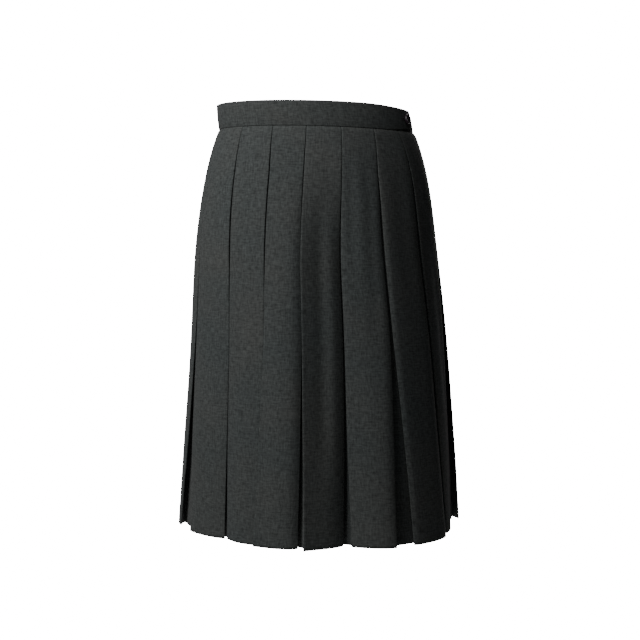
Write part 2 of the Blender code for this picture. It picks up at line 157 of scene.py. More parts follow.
def lengths(x, y):
    """The length along each row of points, from nought at its start."""
    step = np.hypot(np.diff(x, axis=1), np.diff(y, axis=1))
    return np.concatenate([np.zeros((len(x), 1)), np.cumsum(step, axis=1)], axis=1)


class Rings:
    """Ovals at many levels, each measured by arc length from the centre front, by the left."""

    def __init__(self, middle, width, front, back):
        self.middle, self.width, self.front, self.back = (
            np.reshape(a, (-1, 1)) * np.ones((len(np.atleast_1d(middle)), 1))
            for a in (middle, width, front, back)
        )
        self.arc = lengths(*self.at_angle(TURN[None, :]))
        self.arc -= self.arc[:, RING_STEPS // 4][:, None]
        self.pleat = (self.arc[:, -1] - self.arc[:, 0]) / 2 / PLEATS

    def at_angle(self, angle):
        """x = middle + width sin(angle), y = -depth cos(angle)."""
        depth = np.where(np.cos(angle) > 0, self.front, self.back)
        return self.middle + self.width * np.sin(angle), -depth * np.cos(angle)

    def points(self, place, depth):
        """The points at places (one row for each ring), depths inside the outline."""
        angle = np.stack([np.interp(p, arc, TURN) for p, arc in zip(place, self.arc)])
        x, y = self.at_angle(angle)
        out_x = np.sin(angle) / self.width
        out_y = -np.cos(angle) / np.where(np.cos(angle) > 0, self.front, self.back)
        size = np.hypot(out_x, out_y)
        return x - out_x / size * depth, y - out_y / size * depth


# %% Skirt rings
def half_depth(s, spring, flare):
    """Half depth of the outline: a quick spring below the waist and an even flare."""
    return WAIST_HALF_DEPTH + spring * (1 - np.exp(-s / BODY_DROP)) + flare * s


def skirt_rings(s):
    """The skirt's outlines at an array of levels."""
    dip = HIP_DIP * np.exp(-((s - HIP_DIP_LEVEL) / HIP_DIP_SPREAD) ** 2)
    middle = WAIST_SHIFT - dip + HEM_SHIFT * np.minimum(s / HEM_SHIFT_LEVEL, 1.0)
    width = WAIST_HALF_WIDTH + HIP_SPRING * (1 - np.exp(-s / HIP_DROP)) + SIDE_FLARE * s
    front = half_depth(s, BELLY_SPRING, FRONT_FLARE)
    back = half_depth(s, SEAT_SPRING, BACK_FLARE)
    return Rings(middle, width, front, back)


def height(s, x, y):
    """Height of a point of level s: the waist is tipped, and the hem is level."""
    tip = 1 - np.maximum(s, 0.0) / SKIRT_LENGTH
    return WAIST_SEAM_Z - s + tip * (WAIST_PITCH * y - WAIST_ROLL * x)


ENDS = skirt_rings(np.array([0.0, SKIRT_LENGTH]))
print("round the waist and the hem:", (ENDS.pleat * PLEATS).round(3), "m")

# %% [markdown]
# ## Where the pleats part
# Sixteen box pleats meet at sixteen gaps, and no two gaps run alike. One table holds where
# each runs, in pleats from the centre front, how wide it stands open in mm at five levels
# under the waist, where it is closed, and how far the folds beside it stand out from the
# outline at the hem, also in mm. The last two columns say from which level they stand out
# and by which power. Some gaps show as a dark line over the hip and close again below it.
# The folds at the middle of the front lift early, so those faces already turn over the hip.

# %% Gap table
PLACE_LEVELS = (0.0, 70 * MM, 200 * MM, SKIRT_LENGTH)
OPEN_LEVELS = (0.0, 60 * MM, 130 * MM, 240 * MM, 390 * MM, SKIRT_LENGTH)
Gap = namedtuple("Gap", "waist belly hip hem w60 w130 w240 w390 w527 "
                        "left_lift right_lift lifts_at lift_power", defaults=(120, 1.4))
GAPS = [Gap(*row) for row in (
    (-4.22, -4.21, -4.20, -4.52, 0.6, 0.8, 0.8, 2.5, 9.0, -3.0, 1.0),
    (-3.21, -3.17, -3.12, -3.34, 0.2, 0.2, 0.2, 6.5, 40.0, -1.0, -7.0),
    (-2.25, -2.12, -1.99, -2.01, 1.4, 2.2, 0.4, 0.8, 3.6, -16.0, -18.5),
    (-1.25, -1.15, -1.12, -1.22, 1.3, 1.4, 0.2, 0.2, 1.6, -8.0, -2.0),
    (-0.29, -0.31, -0.33, -0.335, 0.9, 1.2, 1.4, 4.2, 8.5, 2.0, 1.0, 60, 0.8),
    (0.68, 0.60, 0.53, 0.51, 0.4, 0.5, 0.6, 2.2, 10.0, -13.0, -11.0, 60, 0.8),
    (1.65, 1.52, 1.50, 1.48, 0.8, 2.0, 3.0, 14.0, 26.0, 13.0, 11.0, 60, 0.8),
    (2.53, 2.59, 2.60, 2.72, 1.4, 2.0, 2.2, 6.0, 12.0, 2.0, -5.0),
    (3.48, 3.55, 3.62, 3.90, 0.8, 1.5, 1.8, 20.0, 42.0, -16.0, 2.0),
    (4.52, 4.58, 4.64, 5.05, 0.6, 1.0, 1.0, 2.2, 6.0, -3.0, 2.0),
    (5.56, 5.60, 5.67, 5.98, 1.0, 1.5, 1.2, 4.2, 9.0, -6.0, -2.0),
    (6.60, 6.63, 6.69, 6.88, 0.7, 1.0, 0.6, 1.6, 5.0, 4.0, 1.0),
    (7.63, 7.66, 7.71, 7.82, 0.6, 0.8, 0.8, 3.6, 8.0, -3.0, -7.0),
    (8.67, 8.70, 8.73, 8.72, 0.9, 1.2, 0.8, 2.2, 6.0, 5.0, 3.0),
    (9.71, 9.73, 9.76, 9.66, 0.7, 1.0, 1.0, 4.4, 9.0, -5.0, -1.0),
    (10.74, 10.75, 10.78, 10.56, 1.0, 1.5, 0.9, 2.6, 6.0, 2.0, 4.0),
)]
SIDE_SEAM = 0
CLOSURE = 8
print("gaps:", len(GAPS))

# %% [markdown]
# ## Rolled edges
# A pressed fold doesn't stay flat once the skirt is worn. Near a gap, the last centimetre or
# two of a face rolls inwards, or its edge springs out. Each row names the gap, the side on
# which the face lies, the levels between which it rolls, how far the roll reaches into the
# face and how deep it goes. The depth follows the square of the nearness to the edge, so the
# face keeps turning right up to its fold.

# %% Roll table
Roll = namedtuple("Roll", "gap side top low reach depth")
ROLLS = [Roll(*row) for row in (
    (4, -1, 20, 660, 14.0, 4.6),
    (4, 1, 20, 680, 36.0, -9.0),
    (5, -1, 40, 680, 28.0, 5.5),
    (5, 1, 10, 420, 6.0, 0.5),
    (6, -1, 10, 600, 13.0, 3.8),
    (6, 1, 20, 640, 6.0, 2.0),
    (3, 1, 300, 640, 12.0, -0.8),
    (2, -1, 200, 640, 14.0, 0.9),
    (7, -1, 10, 640, 14.0, 2.6),
    (8, 1, 200, 640, 14.0, 1.2),
    (9, -1, 60, 500, 18.0, 1.6),
    (10, 1, 120, 640, 16.0, -1.4),
    (11, -1, 90, 640, 18.0, 2.0),
    (12, 1, 160, 640, 16.0, 1.5),
    (13, -1, 60, 420, 14.0, 1.3),
    (14, -1, 200, 640, 20.0, 2.2),
    (15, 1, 80, 560, 16.0, -1.5),
)]
ROLL_FADE = 0.25


def stretch(row, s, share):
    """How far down a row's stretch a level is, from 0 to 1, and a soft fade at both ends."""
    along = (s - row.top * MM) / ((row.low - row.top) * MM)
    return along, smooth(along / share) * smooth((1 - along) / share)


def roll_depth(face, start, end, place, s):
    """Inward depth of a face's two rolled edges: depth * (1 - distance / reach)^2."""
    total = 0.0
    for row in ROLLS:
        on_left = row.side > 0 and row.gap == face % PLEATS
        on_right = row.side < 0 and row.gap == (face + 1) % PLEATS
        if on_left or on_right:
            distance = place - start if on_left else end - place
            near = np.clip(1 - np.maximum(distance, 0.0) / (row.reach * MM), 0, 1)
            fade = stretch(row, s, ROLL_FADE)[1]
            total = total + row.depth * MM * near ** 2 * fade
    return total


print("rolled edges:", len(ROLLS))

# %% [markdown]
# ## Soft creases
# Pressed cloth also dents and waves between its folds. Each crease here is given by
# where it starts and ends, how wide and how deep it is. A crease is a soft trough, or a ridge
# where its depth is below nought, and it moves every layer at its place by the same amount,
# so a pleat never cuts through itself. Similar ones on the sides that the picture doesn't
# show, and a low uneven wave all over, keep those sides as lively as the front.

# %% Crease table
Crease = namedtuple("Crease", "top_place low_place top low width depth")
CREASES = [Crease(*row) for row in (
    (-0.75, -0.78, 120, 560, 15.0, -1.4),
    (0.10, 0.06, 60, 480, 10.0, 2.6),
    (0.30, 0.27, 80, 480, 9.0, -1.4),
    (0.80, 0.78, 20, 190, 6.0, 0.7),
    (1.05, 1.00, 10, 230, 8.0, -0.7),
    (1.28, 1.22, 40, 300, 7.0, 0.9),
    (1.05, 1.00, 260, 640, 20.0, -1.4),
    (2.10, 2.05, 30, 260, 14.0, 0.9),
    (2.30, 2.35, 220, 620, 14.0, -1.5),
    (2.80, 3.15, 4, 120, 5.0, 1.3),
    (3.15, 3.30, 130, 420, 10.0, 1.4),
    (-1.70, -1.60, 30, 330, 12.0, 0.8),
    (-2.60, -2.50, 60, 420, 14.0, 0.7),
    (-2.80, -2.85, 300, 620, 12.0, -1.0),
    (-1.60, -1.62, 330, 620, 14.0, -1.0),
    (-3.60, -3.70, 40, 420, 12.0, 1.2),
    (4.10, 4.20, 20, 260, 9.0, 1.3),
    (4.40, 4.70, 240, 640, 12.0, 2.0),
    (5.10, 5.20, 40, 380, 11.0, 1.2),
    (6.10, 6.20, 160, 620, 13.0, 2.0),
    (6.40, 6.30, 10, 170, 7.0, 0.9),
    (7.20, 7.30, 60, 400, 12.0, 1.3),
    (8.20, 8.25, 200, 640, 12.0, 2.2),
    (8.45, 8.40, 10, 210, 8.0, 0.9),
    (9.30, 9.20, 70, 420, 12.0, 1.4),
    (10.20, 10.10, 180, 640, 11.0, 2.0),
    (11.20, 11.05, 40, 360, 11.0, 1.3),
)]
CREASE_FADE = 0.3
CREASES_START = 30 * MM
MEAN_PLEAT = 60 * MM
WAVE_DEPTH = 0.5 * MM
WAVES = ((2.1, 9.0, 0.0), (5.3, -14.0, 1.0))
SEAM_DIP = 0.9 * MM
SEAM_DIP_END = 3.0 * MM


def crease_depth(place, s):
    """How far creases push the cloth inwards, for places in pleats. Across, a crease is
    depth * exp(-(distance / width)^2). Along, it fades in and out over a share of its length.
    The wave is a product of two slanting sines, and the waist seam pulls the cloth in."""
    total = WAVE_DEPTH
    for across, down, start in WAVES:
        total = total * np.sin(across * place + down * s + start)
    for row in CREASES:
        along, fade = stretch(row, s, CREASE_FADE)
        line = row.top_place + (row.low_place - row.top_place) * along
        across = (place - line + PLEATS / 2) % PLEATS - PLEATS / 2
        trough = np.exp(-((across * MEAN_PLEAT) / (row.width * MM)) ** 2)
        total = total + row.depth * MM * trough * fade
    dip = SEAM_DIP * (1 - smooth(s / SEAM_DIP_END))
    return total * smooth(s / CREASES_START) + dip


print("creases:", len(CREASES))

# %% [markdown]
# ## The faces of the pleats
# The places of all the folds are worked out first, for every level at once. A face runs from
# the right side of one gap to the left side of the next. Its depth is a straight line between
# the lifts of its two folds, a low crown, and its rolled edges.

# %% Faces
CLOTH = 0.5 * MM
FOLD_AT_WAIST = 1.9 * MM
FOLD_AT_HEM = 5.0 * MM
FOLD_OPENS_AT = 150 * MM
FOLD_POWER = 1.3
CROWN_STARTS_AT = 120 * MM
CROWN_POWER = 1.4
FACE_CROWN = 2.0 * MM
SEWN_OPENING = 0.15 * MM


def gap_place(index, s):
    """Where a gap's middle runs, in pleats from the centre front. The last index is the
    first gap again, a whole turn further on."""
    gap = GAPS[index % PLEATS]
    values = (gap.waist, gap.belly, gap.hip, gap.hem)
    return curve(PLACE_LEVELS, values, s) + PLEATS * (index // PLEATS)


def gap_half(index, s):
    """Half the distance between the middles of the cloth on either side of a gap."""
    gap = GAPS[index % PLEATS]
    widths = np.array((0.0, gap.w60, gap.w130, gap.w240, gap.w390, gap.w527)) * MM
    return (SEWN_OPENING + curve(OPEN_LEVELS, widths, s) + CLOTH) / 2


class Folds:
    """The places of the skirt's folds, and the depths of its faces, at an array of levels."""

    def __init__(self, s):
        self.s = s
        self.rings = skirt_rings(s)
        opened = growth(s, FOLD_OPENS_AT, FOLD_POWER)
        self.fold = FOLD_AT_WAIST + (FOLD_AT_HEM - FOLD_AT_WAIST) * opened
        self.crown = FACE_CROWN * growth(s, CROWN_STARTS_AT, CROWN_POWER)[:, None]
        self.centre = [gap_place(i, s) * self.rings.pleat for i in range(PLEATS + 1)]
        half = [gap_half(i, s) for i in range(PLEATS + 1)]
        self.left = [c - h for c, h in zip(self.centre, half)]
        self.right = [c + h for c, h in zip(self.centre, half)]

    def edge(self, face, toward):
        """The gap beside a face, and where the face's fold lies there. toward is 1 for the
        gap at the wearer's left of the face and -1 for the one at its right."""
        gap = face + 1 if toward > 0 else face
        return gap, (self.left if toward > 0 else self.right)[gap][:, None]

    def lift(self, index, side):
        """How far the fold on one side of a gap stands out, as a column."""
        gap = GAPS[index % PLEATS]
        at_hem = gap.left_lift if side < 0 else gap.right_lift
        return (at_hem * MM * growth(self.s, gap.lifts_at * MM, gap.lift_power))[:, None]

    def face_depth(self, face, place):
        """Depth of a face inside the outline: lifts, crown and rolled edges."""
        start = self.right[face][:, None]
        end = self.left[face + 1][:, None]
        t = (place - start) / (end - start)
        lift = (1 - t) * self.lift(face, 1) + t * self.lift(face + 1, -1)
        inside = np.clip(t, 0, 1)
        crown = 4 * inside * (1 - inside) * self.crown
        roll = roll_depth(face, start, end, place, self.s[:, None])
        return CLOTH / 2 - lift - crown + roll


# %% [markdown]
# ## Under the faces
# Seen from above, the cloth of a box pleat runs across the face, turns round a pressed fold,
# goes back under the face, turns again and crosses behind the gap to the next pleat. That
# hidden path is made of short stretches, each a place and a depth for every level at once.
# The first turn is a tight half circle, because the edge is pressed; the inner one is wide.
# Behind the closure the path lies a little deeper, which leaves room for the zip.

# %% Underlay depths
UNDERLAY_CLOTH = 100 * MM
RETURN_SHARE = 0.44
LEAST_UNDERLAY = 6 * MM
NARROW_GAP = 20 * MM
ZIP_START = 6 * MM
ZIP_LENGTH = 180 * MM
ZIP_WINDOW = 4.5 * MM
ZIP_WINDOW_END = 20 * MM
ZIP_ROOM = 2.6 * MM
ZIP_ROOM_START = 8 * MM
ZIP_ROOM_END = 40 * MM


def behind(folds, gap):
    """Depth of a gap's underlay behind the face: two folds, and room for the zip."""
    below_zip = smooth((folds.s - ZIP_START - ZIP_LENGTH) / ZIP_ROOM_END)
    room = ZIP_ROOM * smooth(folds.s / ZIP_ROOM_START) * (1 - below_zip)
    return (2 * folds.fold + (room if gap % PLEATS == CLOSURE else 0.0))[:, None]


def seam_half_gap(folds, gap):
    """Half of the gap between front and back: the zip's window, and nothing where the two
    are sewn together."""
    shut = smooth((folds.s - ZIP_START - ZIP_LENGTH) / ZIP_WINDOW_END)
    return (ZIP_WINDOW * (1 - shut) if gap % PLEATS == CLOSURE else 0 * shut)[:, None]


def outer_end(folds, face, toward):
    """Where the underlay comes out from under a face: its place and the face's depth
    there."""
    gap, edge = folds.edge(face, toward)
    centre = folds.centre[gap][:, None]
    reach = np.maximum(np.abs(edge - centre), LEAST_UNDERLAY)
    place = centre - toward * reach
    at_edge = folds.face_depth(face, edge)
    deeper = np.maximum(at_edge, folds.face_depth(face, place))
    return place, np.where(reach > LEAST_UNDERLAY, at_edge, deeper)


def middle_depth(folds, gap):
    """The face depth at the middle of a gap's underlay: midway between its two sides, or
    the deeper of them where the gap is narrow, so that it clears both folds."""
    left = outer_end(folds, gap - 1 if gap else PLEATS - 1, 1)[1]
    right = outer_end(folds, gap % PLEATS, -1)[1]
    narrow = 1 - smooth((folds.right[gap] - folds.left[gap])[:, None] / NARROW_GAP)
    return (left + right) / 2 + np.abs(left - right) / 2 * narrow


# %% Underlay path
FOLD_RADIUS = 0.5 * MM
TIGHT_TURN = np.linspace(0, math.pi, 5)[None, :]
WIDE_TURN = np.linspace(0, math.pi, 4)[None, 1:]
THIRDS = np.linspace(0, 1, 4)[None, 1:]


def under_path(folds, face, toward, ends_at_seam):
    """From a face's fold, back under it and out to the middle of the gap's underlay."""
    gap, edge = folds.edge(face, toward)
    width = (folds.left[face + 1] - folds.right[face])[:, None]
    spare = (UNDERLAY_CLOTH - (folds.right[gap] - folds.left[gap])[:, None]) / 4
    inner = edge - toward * np.minimum(RETURN_SHARE * width, spare)
    fold = folds.fold[:, None]
    deep = behind(folds, gap)
    turn = (deep - fold) / 2
    hinge = inner + toward * (turn - SOLID_WALL / 2)
    outer, at_outer = outer_end(folds, face, toward)
    at_edge = folds.face_depth(face, edge)
    half = seam_half_gap(folds, gap) if ends_at_seam else 0.0
    end = folds.centre[gap][:, None] - toward * half
    at_end = middle_depth(folds, gap)

    place = edge - toward * FOLD_RADIUS * (1 - np.sin(TIGHT_TURN))
    depth = at_edge + FOLD_RADIUS * (1 - np.cos(TIGHT_TURN))
    back = place[:, -1:] + (hinge - place[:, -1:]) * THIRDS
    opening = 2 * FOLD_RADIUS + (fold - 2 * FOLD_RADIUS) * smooth(THIRDS)
    back_depth = folds.face_depth(face, back) + opening
    round_place = hinge - toward * turn * np.sin(WIDE_TURN)
    round_depth = folds.face_depth(face, hinge) + fold + turn * (1 - np.cos(WIDE_TURN))
    out = hinge + (outer - hinge) * THIRDS[:, [0, 2]]
    out_depth = round_depth[:, -1:] + (at_outer + deep - round_depth[:, -1:]) * THIRDS[:, [0, 2]]
    across = outer + (end - outer) * THIRDS[:, [1, 2]]
    across_depth = deep + at_outer + (at_end - at_outer) * THIRDS[:, [1, 2]]
    places = (place, back, round_place, out, across)
    depths = (depth, back_depth, round_depth, out_depth, across_depth)
    return np.concatenate(places, axis=1), np.concatenate(depths, axis=1)


# %% One pleat
FACE_COLUMNS = 24


def pleat_path(folds, face, starts_at_seam, ends_at_seam):
    """The whole path of one pleat in plan, and how far each point is along the cloth from
    the middle of the face."""
    left_place, left_depth = under_path(folds, face, -1, starts_at_seam)
    right_place, right_depth = under_path(folds, face, 1, ends_at_seam)
    start = left_place[:, :1]
    end = right_place[:, :1]
    place = start + (end - start) * np.linspace(0, 1, FACE_COLUMNS + 1)[None, 1:-1]
    places = np.concatenate([left_place[:, ::-1], place, right_place], axis=1)
    depths = [left_depth[:, ::-1], folds.face_depth(face, place), right_depth]
    depths = np.concatenate(depths, axis=1)
    depths = depths + crease_depth(places / folds.rings.pleat[:, None], folds.s[:, None])
    x, y = folds.rings.points(places, depths)
    along = lengths(x, y)
    middle = left_place.shape[1] + FACE_COLUMNS // 2 - 1
    return x, y, along - along[:, middle:middle + 1]


# %% [markdown]
# ## From arrays to a mesh
# A surface is a grid of points, or a stack of equal grids, so its faces follow from the
# numbers of rows and columns alone. Neighbouring grids share their edges, and merging the
# doubles joins them. The cloth coordinates are kept in metres in a map of their own, because
# the weave has to follow the cloth round the folds. The Solidify modifier then gives the
# cloth its thickness.

# %% Mesh helpers
WEAVE_MAP = "cloth"
MERGE = 0.01 * MM
FINE_MERGE = 0.002 * MM


def grid_quads(count, rows, columns):
    """Corners of every cell of a stack of grids: here, below, below right, right."""
    index = np.arange(count * rows * columns).reshape(count, rows, columns)
    cells = (index[:, :-1, :-1], index[:, 1:, :-1], index[:, 1:, 1:], index[:, :-1, 1:])
    return np.stack(cells, axis=-1).reshape(-1, 4)


def placed(name, data):
    """A new object in the scene."""
    made = bpy.data.objects.new(name, data)
    bpy.context.scene.collection.objects.link(made)
    return made


def surface(name, points, cloth=None, merge=MERGE, outward=False):
    """A smooth shaded mesh object from points (grids, rows, columns, 3), with the cloth
    coordinates (grids, rows, columns, 2) of its points as a map where it is woven."""
    mesh = bpy.data.meshes.new(name)
    quads = grid_quads(*points.shape[:3])
    mesh.from_pydata(points.reshape(-1, 3).tolist(), [], quads.tolist())
    mesh.polygons.foreach_set("use_smooth", np.ones(len(mesh.polygons), bool))
    if cloth is not None:
        corners = np.zeros(len(mesh.loops), np.int32)
        mesh.loops.foreach_get("vertex_index", corners)
        layer = mesh.uv_layers.new(name=WEAVE_MAP)
        at_corners = cloth.reshape(-1, 2)[corners].astype(np.float32)
        layer.uv.foreach_set("vector", at_corners.ravel())
    made = placed(name, mesh)
    weld(made, merge, outward)
    return made


def weld(piece, distance, outward):
    """Merge the doubles and drop the faces that this leaves without an area. A closed piece
    then has its open ends filled and its faces turned outwards."""
    graph = bmesh.new()
    graph.from_mesh(piece.data)
    bmesh.ops.remove_doubles(graph, verts=graph.verts, dist=distance)
    if outward:
        edges = [edge for edge in graph.edges if edge.is_boundary]
        bmesh.ops.holes_fill(graph, edges=edges, sides=0)
        bmesh.ops.recalc_face_normals(graph, faces=graph.faces)
    graph.to_mesh(piece.data)
    graph.free()
    piece.data.update()


# %% [markdown]
# ## The front and the back
# Each panel is eight pleats between two seams that are hidden in the underlays: the side seam
# at the wearer's right and the closure at the left. About a hundred levels give the hip its
# curve. The top is tucked a hair into the band, so that the seam stays dark. The hem is
# turned up 25 mm, so the cloth is double there. A vertex group makes it thicker below that
# line, and the edge of the turning shows outside as a very faint step.

# %% Panels
ROWS = 98
SEAM_LEVELS = (-0.6 * MM, 0.3 * MM, 1.5 * MM)
ROW_EASE = 0.25
HEM_TURN = 25 * MM
HEM_CLOTH = 1.0 * MM
CLOTH_PER_PLEAT = 170 * MM


def panel(name, first, last):
    """A pleated wall from one gap to another, with the widths of its cloth at both ends."""
    t = np.linspace(0, 1, ROWS + 1)
    down = (1 - ROW_EASE) * t + ROW_EASE * smooth(t)
    s = np.concatenate([SEAM_LEVELS, SEAM_DIP_END + (SKIRT_LENGTH - SEAM_DIP_END) * down])
    folds = Folds(s)
    grids, maps, widths = [], [], np.zeros(2)
    for face in range(first, last):
        x, y, along = pleat_path(folds, face, face == first, face + 1 == last)
        grids.append(np.stack([x, y, height(s[:, None], x, y)], axis=-1))
        below = np.broadcast_to(s[:, None], x.shape)
        maps.append(np.stack([along + (face + 1) * CLOTH_PER_PLEAT, below], axis=-1))
        widths += np.ptp(along, axis=1)[[0, -1]]
    piece = surface(name, np.stack(grids), np.stack(maps))
    thicken(piece)
    print(name, "cloth width at waist and hem:", widths.round(3), "m")
    return piece, widths


def thicken(piece):
    """Cloth thickness both ways from the surface: single above, double in the hem."""
    places = np.zeros(len(piece.data.vertices) * 3, np.float32)
    piece.data.vertices.foreach_get("co", places)
    in_hem = places[2::3] < WAIST_SEAM_Z - SKIRT_LENGTH + HEM_TURN
    group = piece.vertex_groups.new(name="layers")
    group.add(np.flatnonzero(in_hem).tolist(), 1.0, "REPLACE")
    group.add(np.flatnonzero(~in_hem).tolist(), CLOTH / HEM_CLOTH, "REPLACE")
    shell = piece.modifiers.new("thickness", "SOLIDIFY")
    shell.thickness = HEM_CLOTH
    shell.offset = 0.0
    shell.vertex_group = group.name


front, front_widths = panel("front_pleats", SIDE_SEAM, CLOSURE)
back, back_widths = panel("back_pleats", CLOSURE, PLEATS)

# %% [markdown]
# ## The waistband
# The band is a strip folded double round a stiffening, so its edges are round and its face is
# slightly full. It starts as the underlap, steps out over it and ends as the tab. A closed
# profile is carried along the waist. It could be swept along a curve, but a grid keeps the
# cloth coordinates straight along the strip.

# %% Band places
BAND_THICKNESS = 3.2 * MM
BAND_PROUD = 0.3 * MM
BAND_TOP_HALF_WIDTH = 131.1 * MM
BAND_TOP_HALF_DEPTH = 98 * MM
BAND_TOP_SHIFT = -5.4 * MM
UNDERLAP_END = 2.1
TAB_END = 3.5
STEP_OUT_END = 4.6
TAB_RISE = 5 * MM
TAB_DROP = 2.8 * MM
TAB_DROP_START = 1.4

WAIST_MIDDLE = skirt_rings(np.array([0.0])).middle[0]
BAND_FOOT = Rings(WAIST_MIDDLE, WAIST_HALF_WIDTH, WAIST_HALF_DEPTH, WAIST_HALF_DEPTH)
BAND_HEAD = Rings(WAIST_MIDDLE + BAND_TOP_SHIFT, BAND_TOP_HALF_WIDTH,
                  BAND_TOP_HALF_DEPTH, BAND_TOP_HALF_DEPTH)


def band_points(strip, rise, depth):
    """Points of the band: places in pleats, heights above its foot, depths inside it. Each
    is on the straight line from the foot's outline to the head's."""
    strip, rise, depth = np.broadcast_arrays(strip, rise, depth)
    flat = depth.reshape(1, -1)
    low = np.stack(BAND_FOOT.points(strip.reshape(1, -1) * BAND_FOOT.pleat[0], flat))
    high = np.stack(BAND_HEAD.points(strip.reshape(1, -1) * BAND_HEAD.pleat[0], flat))
    share = rise.reshape(1, -1) / BAND_HEIGHT
    x, y = (low + (high - low) * share).reshape(2, *strip.shape)
    return np.stack([x, y, height(0.0, x, y) + rise], axis=-1)


def band_outside(strip):
    """Depth of the band's outer face: tucked under the tab at first, then proud."""
    tuck = 1 - smooth((strip - TAB_END) / (STEP_OUT_END - TAB_END))
    return -BAND_PROUD + tuck * (BAND_THICKNESS + SEAM_GAP)


def band_foot(strip):
    """Height of the band's lower edge: it rises towards the tab's end."""
    start = PLEATS + UNDERLAP_END
    return TAB_RISE * smooth((strip - start) / (TAB_END - UNDERLAP_END))


def band_head(strip):
    """Height of the band's upper edge: it dips at the closure, where two layers meet."""
    place = np.where(strip <= PLEATS, strip, strip - PLEATS)
    towards = smooth((place - TAB_DROP_START) / (TAB_END - TAB_DROP_START))
    away = smooth((place - TAB_END) / (STEP_OUT_END - TAB_END))
    return BAND_HEIGHT - TAB_DROP * (towards - away)


# %% Waistband
BAND_COLUMNS = 460
BAND_EDGE = 1.1 * MM
BAND_FULLNESS = 0.5 * MM
EDGE_INSET = 0.3 * MM
GROOVE_DEPTH = 0.15 * MM
GROOVE_WIDTH = 1.1 * MM
STITCH_RISE = 3.6 * MM
CORNER = np.linspace(0, math.pi / 2, 5)
FACE_STEPS = np.linspace(0, 1, 17)[None, 1:-1]


def band_profile(strip):
    """Heights and depths round the band's section: up the outer face, which bulges as half
    a sine and has a groove for the stitches, and down the flat inner one. The four edges
    are quarter circles."""
    foot, head, outside = band_foot(strip), band_head(strip), band_outside(strip)
    rise = foot + BAND_EDGE + (head - foot - 2 * BAND_EDGE) * FACE_STEPS
    groove = GROOVE_DEPTH * np.exp(-((rise - foot - STITCH_RISE) / GROOVE_WIDTH) ** 2)
    skin = outside + EDGE_INSET
    face = skin + groove - BAND_FULLNESS * np.sin(math.pi * FACE_STEPS)
    inset = BAND_EDGE * (1 - np.sin(CORNER))
    turned = BAND_EDGE * (1 - np.cos(CORNER))
    low, top = foot + inset, head - inset
    near, far = skin + turned, outside + BAND_THICKNESS - turned
    rises = [low[:, ::-1], rise, top, top[:, ::-1], rise[:, ::-1], low, low[:, -1:]]
    level = outside + BAND_THICKNESS + 0 * rise
    depths = [near[:, ::-1], face, near, far[:, ::-1], level, far, near[:, -1:]]
    return np.concatenate(rises, axis=1), np.concatenate(depths, axis=1)


def waistband():
    """Carry the profile from the underlap's end once round and on to the tab's end."""
    strip = np.linspace(UNDERLAP_END, TAB_END + PLEATS, BAND_COLUMNS + 1)[:, None]
    rise, depth = band_profile(strip)
    points = band_points(strip, rise, depth)
    along = np.broadcast_to(strip * BAND_FOOT.pleat[0], rise.shape)
    cloth = np.stack([lengths(rise, depth), along], axis=-1)
    return surface("band", points[None], cloth[None], outward=True)


BAND_LENGTH = float((TAB_END + PLEATS - UNDERLAP_END) * BAND_FOOT.pleat[0])
band = waistband()
print("band length", round(BAND_LENGTH, 3), "m")

# %% [markdown]
# ## Stitches
# A row of machine stitches holds the band's inner half down, a few millimetres above the
# seam. On the real skirt they are thread of the cloth's own colour that sinks in at both
# ends. Each is a small capsule with ends of no radius, bent so that its ends dip into the
# groove, and all of them are made at once as a stack of equal grids.

# %% Stitch rows
STITCH_PITCH = 2.4 * MM
STITCH_LENGTH = 2.0 * MM
THREAD_RADIUS = 0.16 * MM
STITCH_DIP = 1.4 * THREAD_RADIUS
STITCH_STOP = 0.05
CAPSULE = np.linspace(-1, 1, 7)[None, :, None]
ROUND = np.linspace(0, 2 * math.pi, 7)[None, None, :]


def band_stitches():
    """Capsules along the band: radius * sqrt(1 - t^2) thick, with ends that dip inwards."""
    first, last = STEP_OUT_END, TAB_END + PLEATS - STITCH_STOP
    count = int((last - first) * BAND_FOOT.pleat[0] / STITCH_PITCH)
    middle = np.linspace(first, last, count)[:, None, None]
    strip = middle + CAPSULE * STITCH_LENGTH / 2 / BAND_FOOT.pleat[0]
    radius = THREAD_RADIUS * np.sqrt(1 - CAPSULE ** 2)
    rise = band_foot(strip) + STITCH_RISE + radius * np.sin(ROUND)
    dip = STITCH_DIP * (CAPSULE ** 2 - 0.5)
    face = band_outside(strip) + GROOVE_DEPTH + BAND_FULLNESS * 0.2
    points = band_points(strip, rise, face + dip - radius * np.cos(ROUND))
    return surface("band_stitches", points, merge=FINE_MERGE, outward=True)


stitches = band_stitches()
print("stitches:", len(stitches.data.vertices), "points")

# %% [markdown]
# ## The button
# The button is dark polished plastic with a raised rim, a shallow dish and four holes. A
# Boolean would cut the holes, but its cuts shade badly. Here the dish is four quarters, each
# a sheet that is stretched between the quarter's own outline and its hole. The sheet runs
# from the back's outline into the hole, up it and out over the dish, so the holes are real.

# %% Button frame
BUTTON_PLACE = 3.1
BUTTON_RADIUS = 7.5 * MM
BUTTON_THICKNESS = 3.4 * MM
RIM_WIDTH = 1.6 * MM
DISH_SLOPE = 1.3 * MM
DISH_DEPTH = 1.0 * MM
HOLE_RADIUS = 0.9 * MM
HOLE_REACH = 1.7 * MM
BACK_INSET = 0.8 * MM
DISH_HOLLOW = 0.1 * MM


def button_axes():
    """Seat, sideways, upward and outward axes of the button on the tab."""
    places = np.array([BUTTON_PLACE, BUTTON_PLACE, BUTTON_PLACE + 0.1])
    rises = np.array([0.5, 0.9, 0.5]) * BAND_HEIGHT
    middle, above, beside = band_points(places, rises, -BAND_PROUD)
    up = (above - middle) / np.linalg.norm(above - middle)
    out = np.cross(beside - middle, up)
    out /= np.linalg.norm(out)
    return middle + out * SEAM_GAP, np.cross(up, out), up, out


